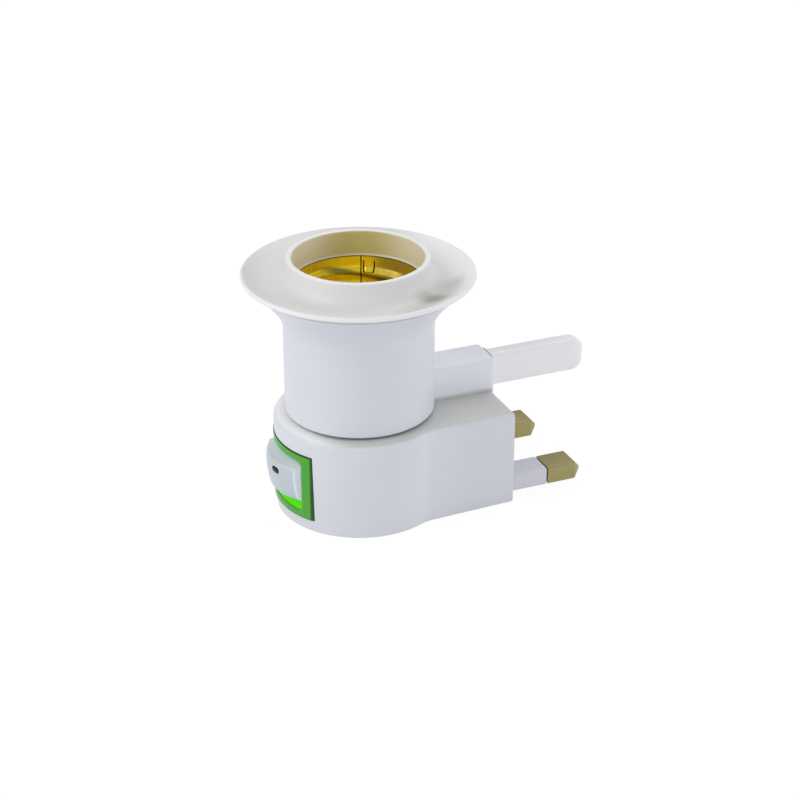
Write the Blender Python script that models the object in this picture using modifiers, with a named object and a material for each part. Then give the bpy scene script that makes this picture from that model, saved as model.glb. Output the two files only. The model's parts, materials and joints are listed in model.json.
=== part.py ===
"""Lamp socket adapter: a switched E27 lamp holder on a three-pin plug base.

The lamp axis is +Z and the origin lies on it, in the bottom face of the base.
The plug pins point along +X and the rocker switch faces -X.
All sizes are in metres.
"""
import math

import bmesh
import bpy
from mathutils import Matrix, Vector

# Gaps: between touching pieces, round a screw in its pilot hole, and past a face that a cutter opens
CLEARANCE = 0.0003
SCREW_FIT = 0.0001
OVERRUN = 0.0001

# Base housing
BASE_HEIGHT = 0.0224
BASE_SHOULDER = 0.0026
BASE_DRAFT = 0.0004
BASE_WALL = 0.0020
BASE_ROOF = 0.0022
BASE_EDGE_RADIUS = 0.0016
BLOCK_REAR_X = 0.0303
BLOCK_SIDE_MARGIN = 0.000925
BLOCK_NECK_INSET = 0.0020
BLOCK_CORNER_RADIUS = 0.0004
BLEND_RADIUS = 0.0080
ROOF_HOLE_RADIUS = 0.0090

# Bottom cover and its screws
COVER_THICKNESS = 0.0013
COVER_LIP = 0.0009
POST_RADIUS = 0.0024
POST_INSET = 0.0052
POST_TO_BARREL_SCREW = 0.0009
POST_TO_PIN_HEAD = 0.0030
SCREW_RADIUS = 0.0009
SCREW_HEAD_RADIUS = 0.0017
SCREW_HEAD_HEIGHT = 0.0006
HEAD_FLAT_SHARE = 0.7
HEAD_SIDE_SHARE = 0.4
COVER_SCREW_LENGTH = 0.0080
DRIVE_SLOT_WIDTH = 0.0005
DRIVE_SLOT_DEPTH = 0.0004
DRIVE_SLOT_REACH = 0.0010

# Boss that carries the earth pin
BOSS_SIDE_MARGIN = 0.0012
BOSS_TOP_MARGIN = 0.0004
BOSS_WALL = 0.0015
BOSS_EDGE_RADIUS = 0.0009

# Socket barrel with its trumpet flange and collar
BARREL_RADIUS = 0.0162
BARREL_WALL = 0.0024
BARREL_FLOOR = 0.0025
BARREL_LEDGE = 0.0013
BARREL_CHAMFER = 0.0004
FLARE_START_HEIGHT = 0.0199
FLARE_POWER = 1.6
RIM_RADIUS = 0.0249
RIM_HEIGHT = 0.0318
RIM_THICKNESS = 0.0012
DISH_BLEND = 0.0033
DISH_DEPTH = 0.0020
COLLAR_STEP = 0.0002
COLLAR_WALL = 0.0013
COLLAR_HEIGHT = 0.0033
COLLAR_LIP_RADIUS = 0.0004
BARREL_SCREW_INSET = 0.0019
BARREL_SCREW_SKIN = 0.0006

# Screw shell, its carrier and the centre contact
SHELL_HEIGHT = 0.0235
SHELL_WALL = 0.0004
SHELL_FLOOR_WIDTH = 0.0037
SHELL_BEAD = 0.0003
CARRIER_THICKNESS = 0.0026
CARRIER_PAD_INSET = 0.0018
CARRIER_PAD_HEIGHT = 0.0010
CARRIER_CHAMFER = 0.0003
RIVET_RADIUS = 0.0008
RIVET_HEAD_RADIUS = 0.0012
RIVET_HEAD_HEIGHT = 0.0005
SHELL_RIVET_INSET = 0.0025
CENTRE_RIVET_INSET = 0.0028
TONGUE_THICKNESS = 0.0004
TONGUE_WIDTH = 0.0050
TONGUE_RISE = 0.0032
TONGUE_REACH = 0.0048

# Switch
SWITCH_DROP = 0.0008
BEZEL_HALF_WIDTH = 0.0107
BEZEL_HALF_HEIGHT = 0.0075
BEZEL_PROUD = 0.0002
BEZEL_THICKNESS = 0.0012
BEZEL_SIDE_BAND = 0.0022
BEZEL_TOP_BAND = 0.0016
WELL_WALL = 0.0009
WELL_CORNER_RADIUS = 0.0012
WELL_DEPTH = 0.0069
ROCKER_PIVOT_DEPTH = 0.0051
ROCKER_PROUD = 0.0019
ROCKER_GAP = 0.0003
ROCKER_TILT_DEGREES = 8.0
ROCKER_END_SLOPE = 0.0005
ROCKER_SKIRT = 0.0009
ROCKER_CROWN_RADIUS = 0.0115
ROCKER_SWEEP_RADIUS = 0.0090
ROCKER_WALL = 0.0011
ROCKER_FRONT_WALL = 0.0018
ROCKER_EDGE_RADIUS = 0.0006
TRUNNION_RADIUS = 0.0012
MARK_LENGTH = 0.0026
MARK_HEIGHT = 0.0014
MARK_THICKNESS = 0.0006
MARK_SHIFT = 0.0028
MARK_RISE = 0.0029
PLUNGER_RADIUS = 0.0009
PLUNGER_SHOULDER = 0.0011
PLUNGER_LENGTH = 0.0040
PLUNGER_SHOULDER_LENGTH = 0.0013
PLUNGER_TUBE_WALL = 0.0007
SPRING_WIRE_RADIUS = 0.00012
SPRING_TURNS = 4
SEESAW_STANDOFF = 0.0015
SEESAW_HALF_LENGTH = 0.0036
SEESAW_WIDTH = 0.0034
SEESAW_THICKNESS = 0.0004
SEESAW_TILT_DEGREES = 12.0
PIP_RADIUS = 0.00055
PIP_TIP_RADIUS = 0.0004
PIP_INSET = 0.00085
TERMINAL_WIDTH = 0.0032
TERMINAL_THICKNESS = 0.0008
TERMINAL_TAIL = 0.0040
TERMINAL_EYE_RADIUS = 0.00065
SIDE_TERMINAL_OFFSET = 0.0032

# Plug pins
PIN_Z = 0.0040
PIN_SPACING = 0.0222
PIN_LENGTH = 0.0177
PIN_WIDTH = 0.00635
PIN_THICKNESS = 0.0040
PIN_TIP_LENGTH = 0.0021
PIN_TIP_WIDTH = 0.0020
PIN_TIP_THICKNESS = 0.0012
PIN_HEAD_LENGTH = 0.0062
PIN_HEAD_HEIGHT = 0.0052
PIN_HEAD_WIDTH = 0.0044
PIN_HEAD_SHIFT = 0.0005
PIN_EDGE_RADIUS = 0.0004
SLEEVE_LENGTH = 0.0086
SLEEVE_WALL = 0.0006
SLEEVE_COLLAR = 0.0004
CLAMP_SCREW_RADIUS = 0.0010
CLAMP_WIRE_RISE = 0.0022
WIRE_BORE_END_WALL = 0.0015
EARTH_PIN_RISE = 0.0222
EARTH_PIN_LENGTH = 0.0227
EARTH_PIN_HEIGHT = 0.0076
EARTH_PIN_WIDTH = 0.0040
EARTH_PIN_EDGE_RADIUS = 0.0009
EARTH_PIN_TIP_LENGTH = 0.0030
EARTH_PIN_TIP_HEIGHT = 0.0046
EARTH_PIN_TIP_WIDTH = 0.0024
EARTH_PIN_TIP_EDGE_RADIUS = 0.00055
EARTH_PIN_TIP_DEGREES = 20.0
EARTH_TENON_HEIGHT = 0.0046
EARTH_TENON_WIDTH = 0.0024
EARTH_BARB = 0.0005
EARTH_BARB_LENGTH = 0.0010
EARTH_ROOT_LENGTH = 0.0009
EARTH_ROOT_FLARE = 0.0010

# Inner wires
WIRE_RADIUS = 0.0007
WIRE_GRIP = 0.0037

# Radii of the barrel and what it holds, from its outside inwards
BARREL_BORE = BARREL_RADIUS - BARREL_WALL
BARREL_FLOOR_HOLE = BARREL_BORE - BARREL_LEDGE
BARREL_SCREW_RING = BARREL_RADIUS - BARREL_SCREW_INSET
COLLAR_BORE = BARREL_BORE + COLLAR_STEP
COLLAR_RADIUS = COLLAR_BORE + COLLAR_WALL
DISH_RADIUS = COLLAR_RADIUS + DISH_BLEND
SHELL_RADIUS = BARREL_BORE - CLEARANCE
SHELL_FLOOR_HOLE = SHELL_RADIUS - SHELL_FLOOR_WIDTH
SHELL_RIVET_RING = SHELL_RADIUS - SHELL_RIVET_INSET
CARRIER_PAD_RADIUS = SHELL_FLOOR_HOLE - CARRIER_PAD_INSET
CENTRE_RIVET_X = CENTRE_RIVET_INSET - CARRIER_PAD_RADIUS
BASE_TOP_RADIUS = BARREL_RADIUS + BASE_SHOULDER
BASE_FOOT_RADIUS = BASE_TOP_RADIUS - BASE_DRAFT

# Heights, each piece on the one below
ROOF_Z = BASE_HEIGHT - BASE_ROOF
COVER_SEAT_Z = COVER_THICKNESS + CLEARANCE
BARREL_FOOT_Z = BASE_HEIGHT + CLEARANCE
LEDGE_Z = BARREL_FOOT_Z + BARREL_FLOOR
BARREL_SCREW_BITE = BARREL_FLOOR - BARREL_SCREW_SKIN
FLARE_START_Z = BARREL_FOOT_Z + FLARE_START_HEIGHT
RIM_TOP_Z = BARREL_FOOT_Z + RIM_HEIGHT
COLLAR_TOP_Z = RIM_TOP_Z + COLLAR_HEIGHT
CARRIER_Z = LEDGE_Z + CLEARANCE
CARRIER_TOP_Z = CARRIER_Z + CARRIER_THICKNESS
SHELL_FOOT_Z = CARRIER_TOP_Z + CLEARANCE
SHELL_TOP_Z = SHELL_FOOT_Z + SHELL_HEIGHT
PAD_TOP_Z = CARRIER_TOP_Z + CARRIER_PAD_HEIGHT
TONGUE_Z = PAD_TOP_Z + CLEARANCE

# Plug end, its pins and the boss round the earth pin
PLUG_INNER_X = BLOCK_REAR_X - BASE_WALL
PIN_HALF_SPACING = PIN_SPACING / 2
PIN_FOOT_Z = PIN_Z - PIN_THICKNESS / 2
PIN_HEAD_FRONT_X = PLUG_INNER_X - SLEEVE_WALL - 2 * CLEARANCE
PIN_HEAD_BACK_X = PIN_HEAD_FRONT_X - PIN_HEAD_LENGTH
CLAMP_SCREW_X = (PIN_HEAD_FRONT_X + PIN_HEAD_BACK_X) / 2
CLAMP_WIRE_Z = PIN_FOOT_Z + CLAMP_WIRE_RISE
BLOCK_HALF_WIDTH = PIN_HALF_SPACING + PIN_WIDTH / 2 + BLOCK_SIDE_MARGIN
BLOCK_SIDE_DISTANCE = BASE_FOOT_RADIUS - BLOCK_NECK_INSET
BLOCK_TAPER = (math.asin(BLOCK_SIDE_DISTANCE / math.hypot(BLOCK_REAR_X, BLOCK_HALF_WIDTH))
               - math.atan2(BLOCK_HALF_WIDTH, BLOCK_REAR_X))
EARTH_PIN_Z = PIN_Z + EARTH_PIN_RISE
BOSS_TOP_Z = EARTH_PIN_Z + EARTH_PIN_HEIGHT / 2 + BOSS_TOP_MARGIN
BOSS_HALF_WIDTH = EARTH_PIN_WIDTH / 2 + EARTH_ROOT_FLARE + BOSS_SIDE_MARGIN

# Switch, from the base's round wall inwards
SWITCH_Z = BASE_HEIGHT / 2 - SWITCH_DROP
BEZEL_RADIUS = BASE_TOP_RADIUS + BEZEL_PROUD
WINDOW_HALF_WIDTH = BEZEL_HALF_WIDTH - BEZEL_SIDE_BAND
WINDOW_HALF_HEIGHT = BEZEL_HALF_HEIGHT - BEZEL_TOP_BAND
WELL_HALF_WIDTH = WINDOW_HALF_WIDTH + WELL_WALL
WELL_HALF_HEIGHT = WINDOW_HALF_HEIGHT + WELL_WALL
ROCKER_FACE_X = -BEZEL_RADIUS - ROCKER_PROUD
ROCKER_PIVOT_X = ROCKER_PIVOT_DEPTH - BEZEL_RADIUS
ROCKER_BACK_X = ROCKER_PIVOT_X + ROCKER_SKIRT
WELL_BACK_X = ROCKER_PIVOT_X + WELL_DEPTH
WELL_FLOOR_X = WELL_BACK_X - WELL_WALL
SEESAW_X = WELL_FLOOR_X - SEESAW_STANDOFF
TERMINAL_TAIL_X = WELL_BACK_X + TERMINAL_TAIL

# Cover screw posts, before the barrel screws' heads and before the pin heads
FRONT_POST_X = -SCREW_HEAD_RADIUS - POST_RADIUS - POST_TO_BARREL_SCREW
FRONT_POST_Y = BASE_FOOT_RADIUS - POST_INSET
REAR_POST_X = PIN_HEAD_BACK_X - POST_TO_PIN_HEAD - POST_RADIUS
REAR_POST_Y = BLOCK_HALF_WIDTH - POST_INSET
POSTS = (
    (FRONT_POST_X, -FRONT_POST_Y),
    (FRONT_POST_X, FRONT_POST_Y),
    (REAR_POST_X, -REAR_POST_Y),
    (REAR_POST_X, REAR_POST_Y),
)


def new_collection(name):
    collection = bpy.data.collections.new(name)
    bpy.context.scene.collection.children.link(collection)
    return collection


def material(name, colour, roughness, metallic=0.0):
    made = bpy.data.materials.new(name)
    made.use_nodes = True
    shader = made.node_tree.nodes["Principled BSDF"]
    shader.inputs["Base Color"].default_value = (*colour, 1.0)
    shader.inputs["Roughness"].default_value = roughness
    shader.inputs["Metallic"].default_value = metallic
    return made


def add_object(name, mesh, look=None, origin=(0.0, 0.0, 0.0)):
    """Link a mesh as a part when it has a look, and as a hidden cutter when it has none."""
    made = bpy.data.objects.new(name, mesh)
    made.location = origin
    if look is None:
        cutters.objects.link(made)
        made.hide_render = True
        made.display_type = "WIRE"
    else:
        parts.objects.link(made)
        made.data.materials.append(look)
    return made


def mesh_from(bm, name):
    mesh = bpy.data.meshes.new(name)
    bm.to_mesh(mesh)
    bm.free()
    return mesh


def bevel(target, width, segments=3, angle=40.0):
    step = target.modifiers.new("Rounded edges", "BEVEL")
    step.width = width
    step.segments = segments
    step.limit_method = "ANGLE"
    step.angle_limit = math.radians(angle)


def boolean(target, other, operation):
    step = target.modifiers.new(other.name, "BOOLEAN")
    step.operation = operation
    step.object = other
    step.solver = "EXACT"


def cut(target, *others):
    for other in others:
        boolean(target, other, "DIFFERENCE")


def join(target, *others):
    for other in others:
        boolean(target, other, "UNION")


def bake(target):
    """Replace a part's mesh by its evaluated one, so that its shape can be shared or cut on."""
    graph = bpy.context.evaluated_depsgraph_get()
    mesh = bpy.data.meshes.new_from_object(target.evaluated_get(graph))
    target.modifiers.clear()
    target.data = mesh
    return target


def smooth(target, angle=35.0):
    target.data.shade_smooth()
    target.data.set_sharp_from_angle(angle=math.radians(angle))


def box(name, low, high, look=None, edge=0.0, segments=3):
    """A box between two corners, with its edges rounded where asked."""
    size = [b - a for a, b in zip(low, high)]
    centre = [(a + b) / 2 for a, b in zip(low, high)]
    bm = bmesh.new()
    bmesh.ops.create_cube(bm, size=1.0, matrix=Matrix.Diagonal((*size, 1.0)))
    made = add_object(name, mesh_from(bm, name), look, centre)
    if edge > 0.0:
        bevel(made, edge, segments)
    return made


def rod(name, radius, start, end, look=None, segments=32, end_radius=None):
    """A cylinder, or a cone, from one point to another."""
    start, end = Vector(start), Vector(end)
    run = end - start
    bm = bmesh.new()
    bmesh.ops.create_cone(
        bm, cap_ends=True, segments=segments, radius1=radius,
        radius2=radius if end_radius is None else end_radius, depth=run.length,
        matrix=run.to_track_quat("Z", "Y").to_matrix().to_4x4(),
    )
    return add_object(name, mesh_from(bm, name), look, (start + end) / 2)


def arc(centre, radius, first, last, steps):
    """Points on an arc, with the angles in degrees."""
    points = []
    for i in range(steps + 1):
        angle = math.radians(first + (last - first) * i / steps)
        points.append((centre[0] + radius * math.cos(angle), centre[1] + radius * math.sin(angle)))
    return points


def turned(name, profile, look=None, segments=64, origin=(0.0, 0.0, 0.0)):
    """Turn a profile of (radius, height) points about Z; it runs down its outer side."""
    bm = bmesh.new()
    points = [bm.verts.new((radius, 0.0, height)) for radius, height in profile]
    for first, second in zip(points, points[1:]):
        bm.edges.new((first, second))
    if profile[0][0] > 1e-6:
        bm.edges.new((points[-1], points[0]))
    made = add_object(name, mesh_from(bm, name), look, origin)
    step = made.modifiers.new("Turn", "SCREW")
    step.axis = "Z"
    step.steps = segments
    step.render_steps = segments
    step.use_merge_vertices = True
    step.merge_threshold = 0.00001
    return made


def loft(name, rings, look=None):
    """A closed solid through level outlines, each given as (outline, height)."""
    bm = bmesh.new()
    levels = [[bm.verts.new((x, y, z)) for x, y in outline] for outline, z in rings]
    for lower, upper in zip(levels, levels[1:]):
        for i in range(len(lower)):
            j = (i + 1) % len(lower)
            bm.faces.new((lower[i], lower[j], upper[j], upper[i]))
    bm.faces.new(list(reversed(levels[0])))
    bm.faces.new(levels[-1])
    return add_object(name, mesh_from(bm, name), look)


def outline_slab(name, outline, thickness, look=None):
    """A flat 2D curve in its own XY plane, extruded evenly to both sides and made a mesh."""
    curve = bpy.data.curves.new(name, "CURVE")
    curve.dimensions = "2D"
    curve.fill_mode = "BOTH"
    curve.extrude = thickness / 2
    spline = curve.splines.new("POLY")
    spline.points.add(len(outline) - 1)
    for point, (x, y) in zip(spline.points, outline):
        point.co = (x, y, 0.0, 1.0)
    spline.use_cyclic_u = True
    guide = bpy.data.objects.new(name + "_curve", curve)
    cutters.objects.link(guide)
    graph = bpy.context.evaluated_depsgraph_get()
    mesh = bpy.data.meshes.new_from_object(guide.evaluated_get(graph))
    bm = bmesh.new()
    bm.from_mesh(mesh)
    bmesh.ops.remove_doubles(bm, verts=bm.verts, dist=0.000001)
    bmesh.ops.recalc_face_normals(bm, faces=bm.faces)
    bm.to_mesh(mesh)
    bm.free()
    bpy.data.objects.remove(guide)
    return add_object(name, mesh, look)


def tube_along(name, points, radius, look):
    """A round wire through a list of points, with closed ends."""
    curve = bpy.data.curves.new(name, "CURVE")
    curve.dimensions = "3D"
    curve.bevel_depth = radius
    curve.bevel_resolution = 2
    curve.use_fill_caps = True
    spline = curve.splines.new("POLY")
    spline.points.add(len(points) - 1)
    for point, place in zip(spline.points, points):
        point.co = (*place, 1.0)
    made = bpy.data.objects.new(name, curve)
    parts.objects.link(made)
    curve.materials.append(look)
    return made


def smooth_route(stops, steps=2):
    """Points on a Catmull-Rom curve through a few stops."""
    stops = [Vector(stop) for stop in stops]
    padded = [2 * stops[0] - stops[1], *stops, 2 * stops[-1] - stops[-2]]
    points = []
    for a, b, c, d in zip(padded, padded[1:], padded[2:], padded[3:]):
        for i in range(steps):
            t = i / steps
            points.append(0.5 * (2 * b + (c - a) * t + (2 * a - 5 * b + 4 * c - d) * t ** 2
                                 + (3 * b - a - 3 * c + d) * t ** 3))
    points.append(stops[-1])
    return points


def keyhole(inset, radius):
    """The base seen from above: a round front whose sides run in slightly to the rear block."""
    along = Vector((math.cos(BLOCK_TAPER), math.sin(BLOCK_TAPER)))
    outwards = Vector((math.sin(BLOCK_TAPER), -math.cos(BLOCK_TAPER)))
    turn = math.degrees(BLOCK_TAPER)

    to_blend = BLOCK_SIDE_DISTANCE + BLEND_RADIUS
    blend = to_blend * outwards + math.sqrt((radius + BLEND_RADIUS) ** 2 - to_blend ** 2) * along
    meeting = math.degrees(math.atan2(-blend.y, blend.x))

    corner = max(BLOCK_CORNER_RADIUS - inset, BLOCK_CORNER_RADIUS / 4)
    corner_x = BLOCK_REAR_X - inset - corner
    corner_y = (corner_x * outwards.x - (BLOCK_SIDE_DISTANCE - inset - corner)) / along.x

    side = arc((0.0, 0.0), radius - inset, -180.0, -meeting, 20)
    side += arc(blend, BLEND_RADIUS + inset, 180.0 - meeting, 90.0 + turn, 4)[1:]
    side += arc((corner_x, corner_y), corner, turn - 90.0, 0.0, 3)
    return side + [(x, -y) for x, y in reversed(side[1:])]


def stadium(length, height, margin=0.0):
    """A long hole or bar with round ends, its length along Y."""
    radius = height / 2 + margin
    end = (length - height) / 2
    return arc((0.0, end), radius, 0.0, 180.0, 8) + arc((0.0, -end), radius, 180.0, 360.0, 8)


def base_radius(z):
    return BASE_FOOT_RADIUS + (BASE_TOP_RADIUS - BASE_FOOT_RADIUS) * z / BASE_HEIGHT


def make_screw(name, look, length):
    """A pan-head screw with a cross recess, point up; its head bears in the plane of its origin."""
    head = SCREW_HEAD_HEIGHT
    wide = SCREW_HEAD_RADIUS
    profile = [(0.0, head), (wide * HEAD_FLAT_SHARE, head), (wide, head * HEAD_SIDE_SHARE), (wide, 0.0),
               (SCREW_RADIUS, 0.0), (SCREW_RADIUS, SCREW_RADIUS - length), (0.0, -length)]
    made = turned(name, profile, look, 12)
    half = DRIVE_SLOT_WIDTH / 2
    reach = DRIVE_SLOT_REACH
    depth = head - DRIVE_SLOT_DEPTH
    cut(made,
        box(name + "_slot_x", (-reach, -half, depth), (reach, half, head * 2)),
        box(name + "_slot_y", (-half, -reach, depth), (half, reach, head * 2)))
    bake(made)
    made.data.transform(Matrix.Rotation(math.pi, 4, "X"))
    smooth(made)
    return made


def copy_of(source, name, place):
    made = bpy.data.objects.new(name, source.data)
    made.location = place
    parts.objects.link(made)
    return made


def make_base_housing(look):
    rings = [(keyhole(0.0, base_radius(0.0)), 0.0)]
    for x, y in arc((0.0, 0.0), BASE_EDGE_RADIUS, 0.0, 90.0, 4):
        height = BASE_HEIGHT - BASE_EDGE_RADIUS + y
        rings.append((keyhole(BASE_EDGE_RADIUS - x, base_radius(height)), height))
    housing = loft("base_housing", rings, look)

    boss_front = BARREL_RADIUS - BASE_WALL
    join(housing, box("boss_block", (boss_front, -BOSS_HALF_WIDTH, ROOF_Z + BASE_ROOF / 4),
                      (BLOCK_REAR_X, BOSS_HALF_WIDTH, BOSS_TOP_Z), edge=BOSS_EDGE_RADIUS))
    cut(housing, rod("barrel_seat", BARREL_RADIUS + CLEARANCE, (0.0, 0.0, BASE_HEIGHT),
                     (0.0, 0.0, BOSS_TOP_Z + BASE_WALL), segments=64))

    inner = keyhole(BASE_WALL, BASE_FOOT_RADIUS)
    cut(housing, loft("cavity", [(inner, -BASE_WALL), (inner, ROOF_Z)]))
    rebate = keyhole(COVER_LIP, BASE_FOOT_RADIUS)
    cut(housing, loft("cover_rebate", [(rebate, -BASE_WALL), (rebate, COVER_SEAT_Z)]))

    for number, (x, y) in enumerate(POSTS, 1):
        join(housing, rod(f"post_{number}", POST_RADIUS, (x, y, COVER_SEAT_Z),
                          (x, y, ROOF_Z + BASE_ROOF / 3), segments=20))
    for number, (x, y) in enumerate(POSTS, 1):
        cut(housing, rod(f"post_hole_{number}", SCREW_RADIUS + CLEARANCE, (x, y, 0.0),
                         (x, y, COVER_SCREW_LENGTH + COVER_THICKNESS), segments=12))

    cut(housing, rod("wire_hole", ROOF_HOLE_RADIUS, (0.0, 0.0, ROOF_Z - BASE_ROOF),
                     (0.0, 0.0, BASE_HEIGHT + BASE_ROOF), segments=48))
    for number, side in enumerate((-1, 1), 1):
        y = side * BARREL_SCREW_RING
        cut(housing, rod(f"barrel_screw_hole_{number}", SCREW_RADIUS + CLEARANCE,
                         (0.0, y, ROOF_Z - BASE_ROOF), (0.0, y, BASE_HEIGHT + BASE_ROOF), segments=16))

    hollow_y = BOSS_HALF_WIDTH - BOSS_WALL
    cut(housing, box("boss_hollow", (BARREL_RADIUS + BASE_WALL, -hollow_y, ROOF_Z - BASE_ROOF),
                     (PLUG_INNER_X, hollow_y, BOSS_TOP_Z - BOSS_WALL)))
    tenon_y = EARTH_TENON_WIDTH / 2 + CLEARANCE
    tenon_z = EARTH_TENON_HEIGHT / 2 + CLEARANCE
    cut(housing, box("tenon_slot", (PLUG_INNER_X - BASE_WALL, -tenon_y, EARTH_PIN_Z - tenon_z),
                     (BLOCK_REAR_X + BASE_WALL, tenon_y, EARTH_PIN_Z + tenon_z)))
    for number, side in enumerate((-1, 1), 1):
        y = side * PIN_HALF_SPACING
        half_y = PIN_WIDTH / 2 + CLEARANCE
        half_z = PIN_THICKNESS / 2 + CLEARANCE
        pocket_x = PLUG_INNER_X - SLEEVE_WALL - 2 * (CLEARANCE + PIN_EDGE_RADIUS)
        pocket_z = half_z + SLEEVE_COLLAR
        cut(housing,
            box(f"pin_slot_{number}", (pocket_x, y - half_y, PIN_Z - half_z),
                (BLOCK_REAR_X + BASE_WALL, y + half_y, PIN_Z + half_z)),
            box(f"collar_pocket_{number}", (pocket_x, y - half_y, PIN_Z - pocket_z),
                (PLUG_INNER_X, y + half_y, PIN_Z + pocket_z)))

    front = -BASE_TOP_RADIUS - BASE_WALL
    seat_y = BEZEL_HALF_WIDTH + CLEARANCE
    seat_z = BEZEL_HALF_HEIGHT + CLEARANCE
    bezel_seat = box("bezel_seat", (front, -seat_y, SWITCH_Z - seat_z), (0.0, seat_y, SWITCH_Z + seat_z))
    cut(bezel_seat, rod("bezel_seat_core", BEZEL_RADIUS - BEZEL_THICKNESS - CLEARANCE,
                        (0.0, 0.0, -BASE_WALL), (0.0, 0.0, BASE_HEIGHT + BASE_WALL), segments=96))
    well_y = WELL_HALF_WIDTH + CLEARANCE
    well_z = WELL_HALF_HEIGHT + CLEARANCE
    cut(housing, bezel_seat,
        box("well_window", (front, -well_y, SWITCH_Z - well_z), (WELL_BACK_X, well_y, SWITCH_Z + well_z)))
    smooth(housing)
    return housing


def make_bottom_cover(look):
    outline = keyhole(COVER_LIP + CLEARANCE, BASE_FOOT_RADIUS)
    cover = loft("bottom_cover", [(outline, 0.0), (outline, COVER_THICKNESS)], look)
    for number, (x, y) in enumerate(POSTS, 1):
        cut(cover,
            rod(f"cover_hole_{number}", SCREW_RADIUS + CLEARANCE, (x, y, -COVER_THICKNESS),
                (x, y, COVER_THICKNESS * 2), segments=12),
            rod(f"cover_recess_{number}", SCREW_HEAD_RADIUS + CLEARANCE, (x, y, -COVER_THICKNESS),
                (x, y, SCREW_HEAD_HEIGHT + CLEARANCE), segments=18))
    return cover


def make_cover_screws(look):
    head_z = SCREW_HEAD_HEIGHT
    first = make_screw("cover_screw_1", look, COVER_SCREW_LENGTH)
    first.location = (*POSTS[0], head_z)
    for number, (x, y) in enumerate(POSTS[1:], 2):
        copy_of(first, f"cover_screw_{number}", (x, y, head_z))


def barrel_profile():
    lip = COLLAR_LIP_RADIUS
    profile = [(COLLAR_BORE + lip, COLLAR_TOP_Z)]
    profile += arc((COLLAR_RADIUS - lip, COLLAR_TOP_Z - lip), lip, 90.0, 0.0, 2)
    dish_z = RIM_TOP_Z - DISH_DEPTH
    profile += arc((DISH_RADIUS, dish_z + DISH_BLEND), DISH_BLEND, 180.0, 270.0, 4)
    edge = RIM_THICKNESS / 2
    rim_inner = RIM_RADIUS - edge
    for i in range(1, 4):
        t = i / 4
        profile.append((DISH_RADIUS + (rim_inner - DISH_RADIUS) * t,
                        dish_z + DISH_DEPTH * (1 - math.cos(math.pi / 2 * t))))
    profile += arc((rim_inner, RIM_TOP_Z - edge), edge, 90.0, -60.0, 4)
    top = profile[-1]
    for i in range(1, 7):
        t = 1 - i / 6
        profile.append((BARREL_RADIUS + (top[0] - BARREL_RADIUS) * t ** FLARE_POWER,
                        FLARE_START_Z + (top[1] - FLARE_START_Z) * t))
    profile += [(BARREL_RADIUS, BARREL_FOOT_Z + BARREL_CHAMFER),
                (BARREL_RADIUS - BARREL_CHAMFER, BARREL_FOOT_Z),
                (BARREL_FLOOR_HOLE, BARREL_FOOT_Z),
                (BARREL_FLOOR_HOLE, LEDGE_Z),
                (BARREL_BORE, LEDGE_Z),
                (BARREL_BORE, SHELL_TOP_Z + CLEARANCE),
                (COLLAR_BORE, SHELL_TOP_Z + CLEARANCE * 2),
                (COLLAR_BORE, COLLAR_TOP_Z - lip)]
    return profile


def make_socket_barrel(look):
    barrel = turned("socket_barrel", barrel_profile(), look, 50)
    for number, side in enumerate((-1, 1), 1):
        y = side * BARREL_SCREW_RING
        pilot_end = BARREL_FOOT_Z + BARREL_SCREW_BITE + CLEARANCE
        cut(barrel, rod(f"barrel_pilot_{number}", SCREW_RADIUS + SCREW_FIT,
                        (0.0, y, BARREL_FOOT_Z - BARREL_FLOOR), (0.0, y, pilot_end), segments=16))
    smooth(barrel)


def make_barrel_screws(look):
    length = BASE_ROOF + CLEARANCE * 2 + BARREL_SCREW_BITE
    first = make_screw("barrel_screw_1", look, length)
    head_z = ROOF_Z - CLEARANCE
    first.location = (0.0, -BARREL_SCREW_RING, head_z)
    copy_of(first, "barrel_screw_2", (0.0, BARREL_SCREW_RING, head_z))


def make_screw_shell(look):
    inner = SHELL_RADIUS - SHELL_WALL
    top = SHELL_TOP_Z
    floor_z = SHELL_FOOT_Z + SHELL_WALL
    profile = [(inner + SHELL_BEAD / 2, top), (SHELL_RADIUS, top - SHELL_BEAD), (SHELL_RADIUS, floor_z),
               (inner, SHELL_FOOT_Z), (SHELL_FLOOR_HOLE, SHELL_FOOT_Z), (SHELL_FLOOR_HOLE, floor_z),
               (inner - SHELL_WALL, floor_z), (inner, floor_z + SHELL_WALL), (inner, top - SHELL_BEAD)]
    shell = turned("screw_shell", profile, look, 42)
    for number, side in enumerate((-1, 1), 1):
        y = side * SHELL_RIVET_RING
        cut(shell, rod(f"shell_hole_{number}", RIVET_RADIUS + CLEARANCE, (0.0, y, SHELL_FOOT_Z - SHELL_WALL),
                       (0.0, y, floor_z + SHELL_WALL * 2), segments=16))
    smooth(shell)


def make_contact_carrier(look):
    chamfer = CARRIER_CHAMFER
    outer = SHELL_RADIUS
    profile = [(0.0, PAD_TOP_Z), (CARRIER_PAD_RADIUS, PAD_TOP_Z),
               (CARRIER_PAD_RADIUS + chamfer, CARRIER_TOP_Z),
               (outer - chamfer, CARRIER_TOP_Z), (outer, CARRIER_TOP_Z - chamfer),
               (outer, CARRIER_Z), (0.0, CARRIER_Z)]
    carrier = turned("contact_carrier", profile, look, 30)
    places = ((0.0, -SHELL_RIVET_RING), (0.0, SHELL_RIVET_RING), (CENTRE_RIVET_X, 0.0))
    for number, (x, y) in enumerate(places, 1):
        cut(carrier, rod(f"carrier_hole_{number}", RIVET_RADIUS + CLEARANCE,
                         (x, y, CARRIER_Z - CARRIER_THICKNESS), (x, y, PAD_TOP_Z + CARRIER_THICKNESS),
                         segments=16))
    smooth(carrier)


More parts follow.
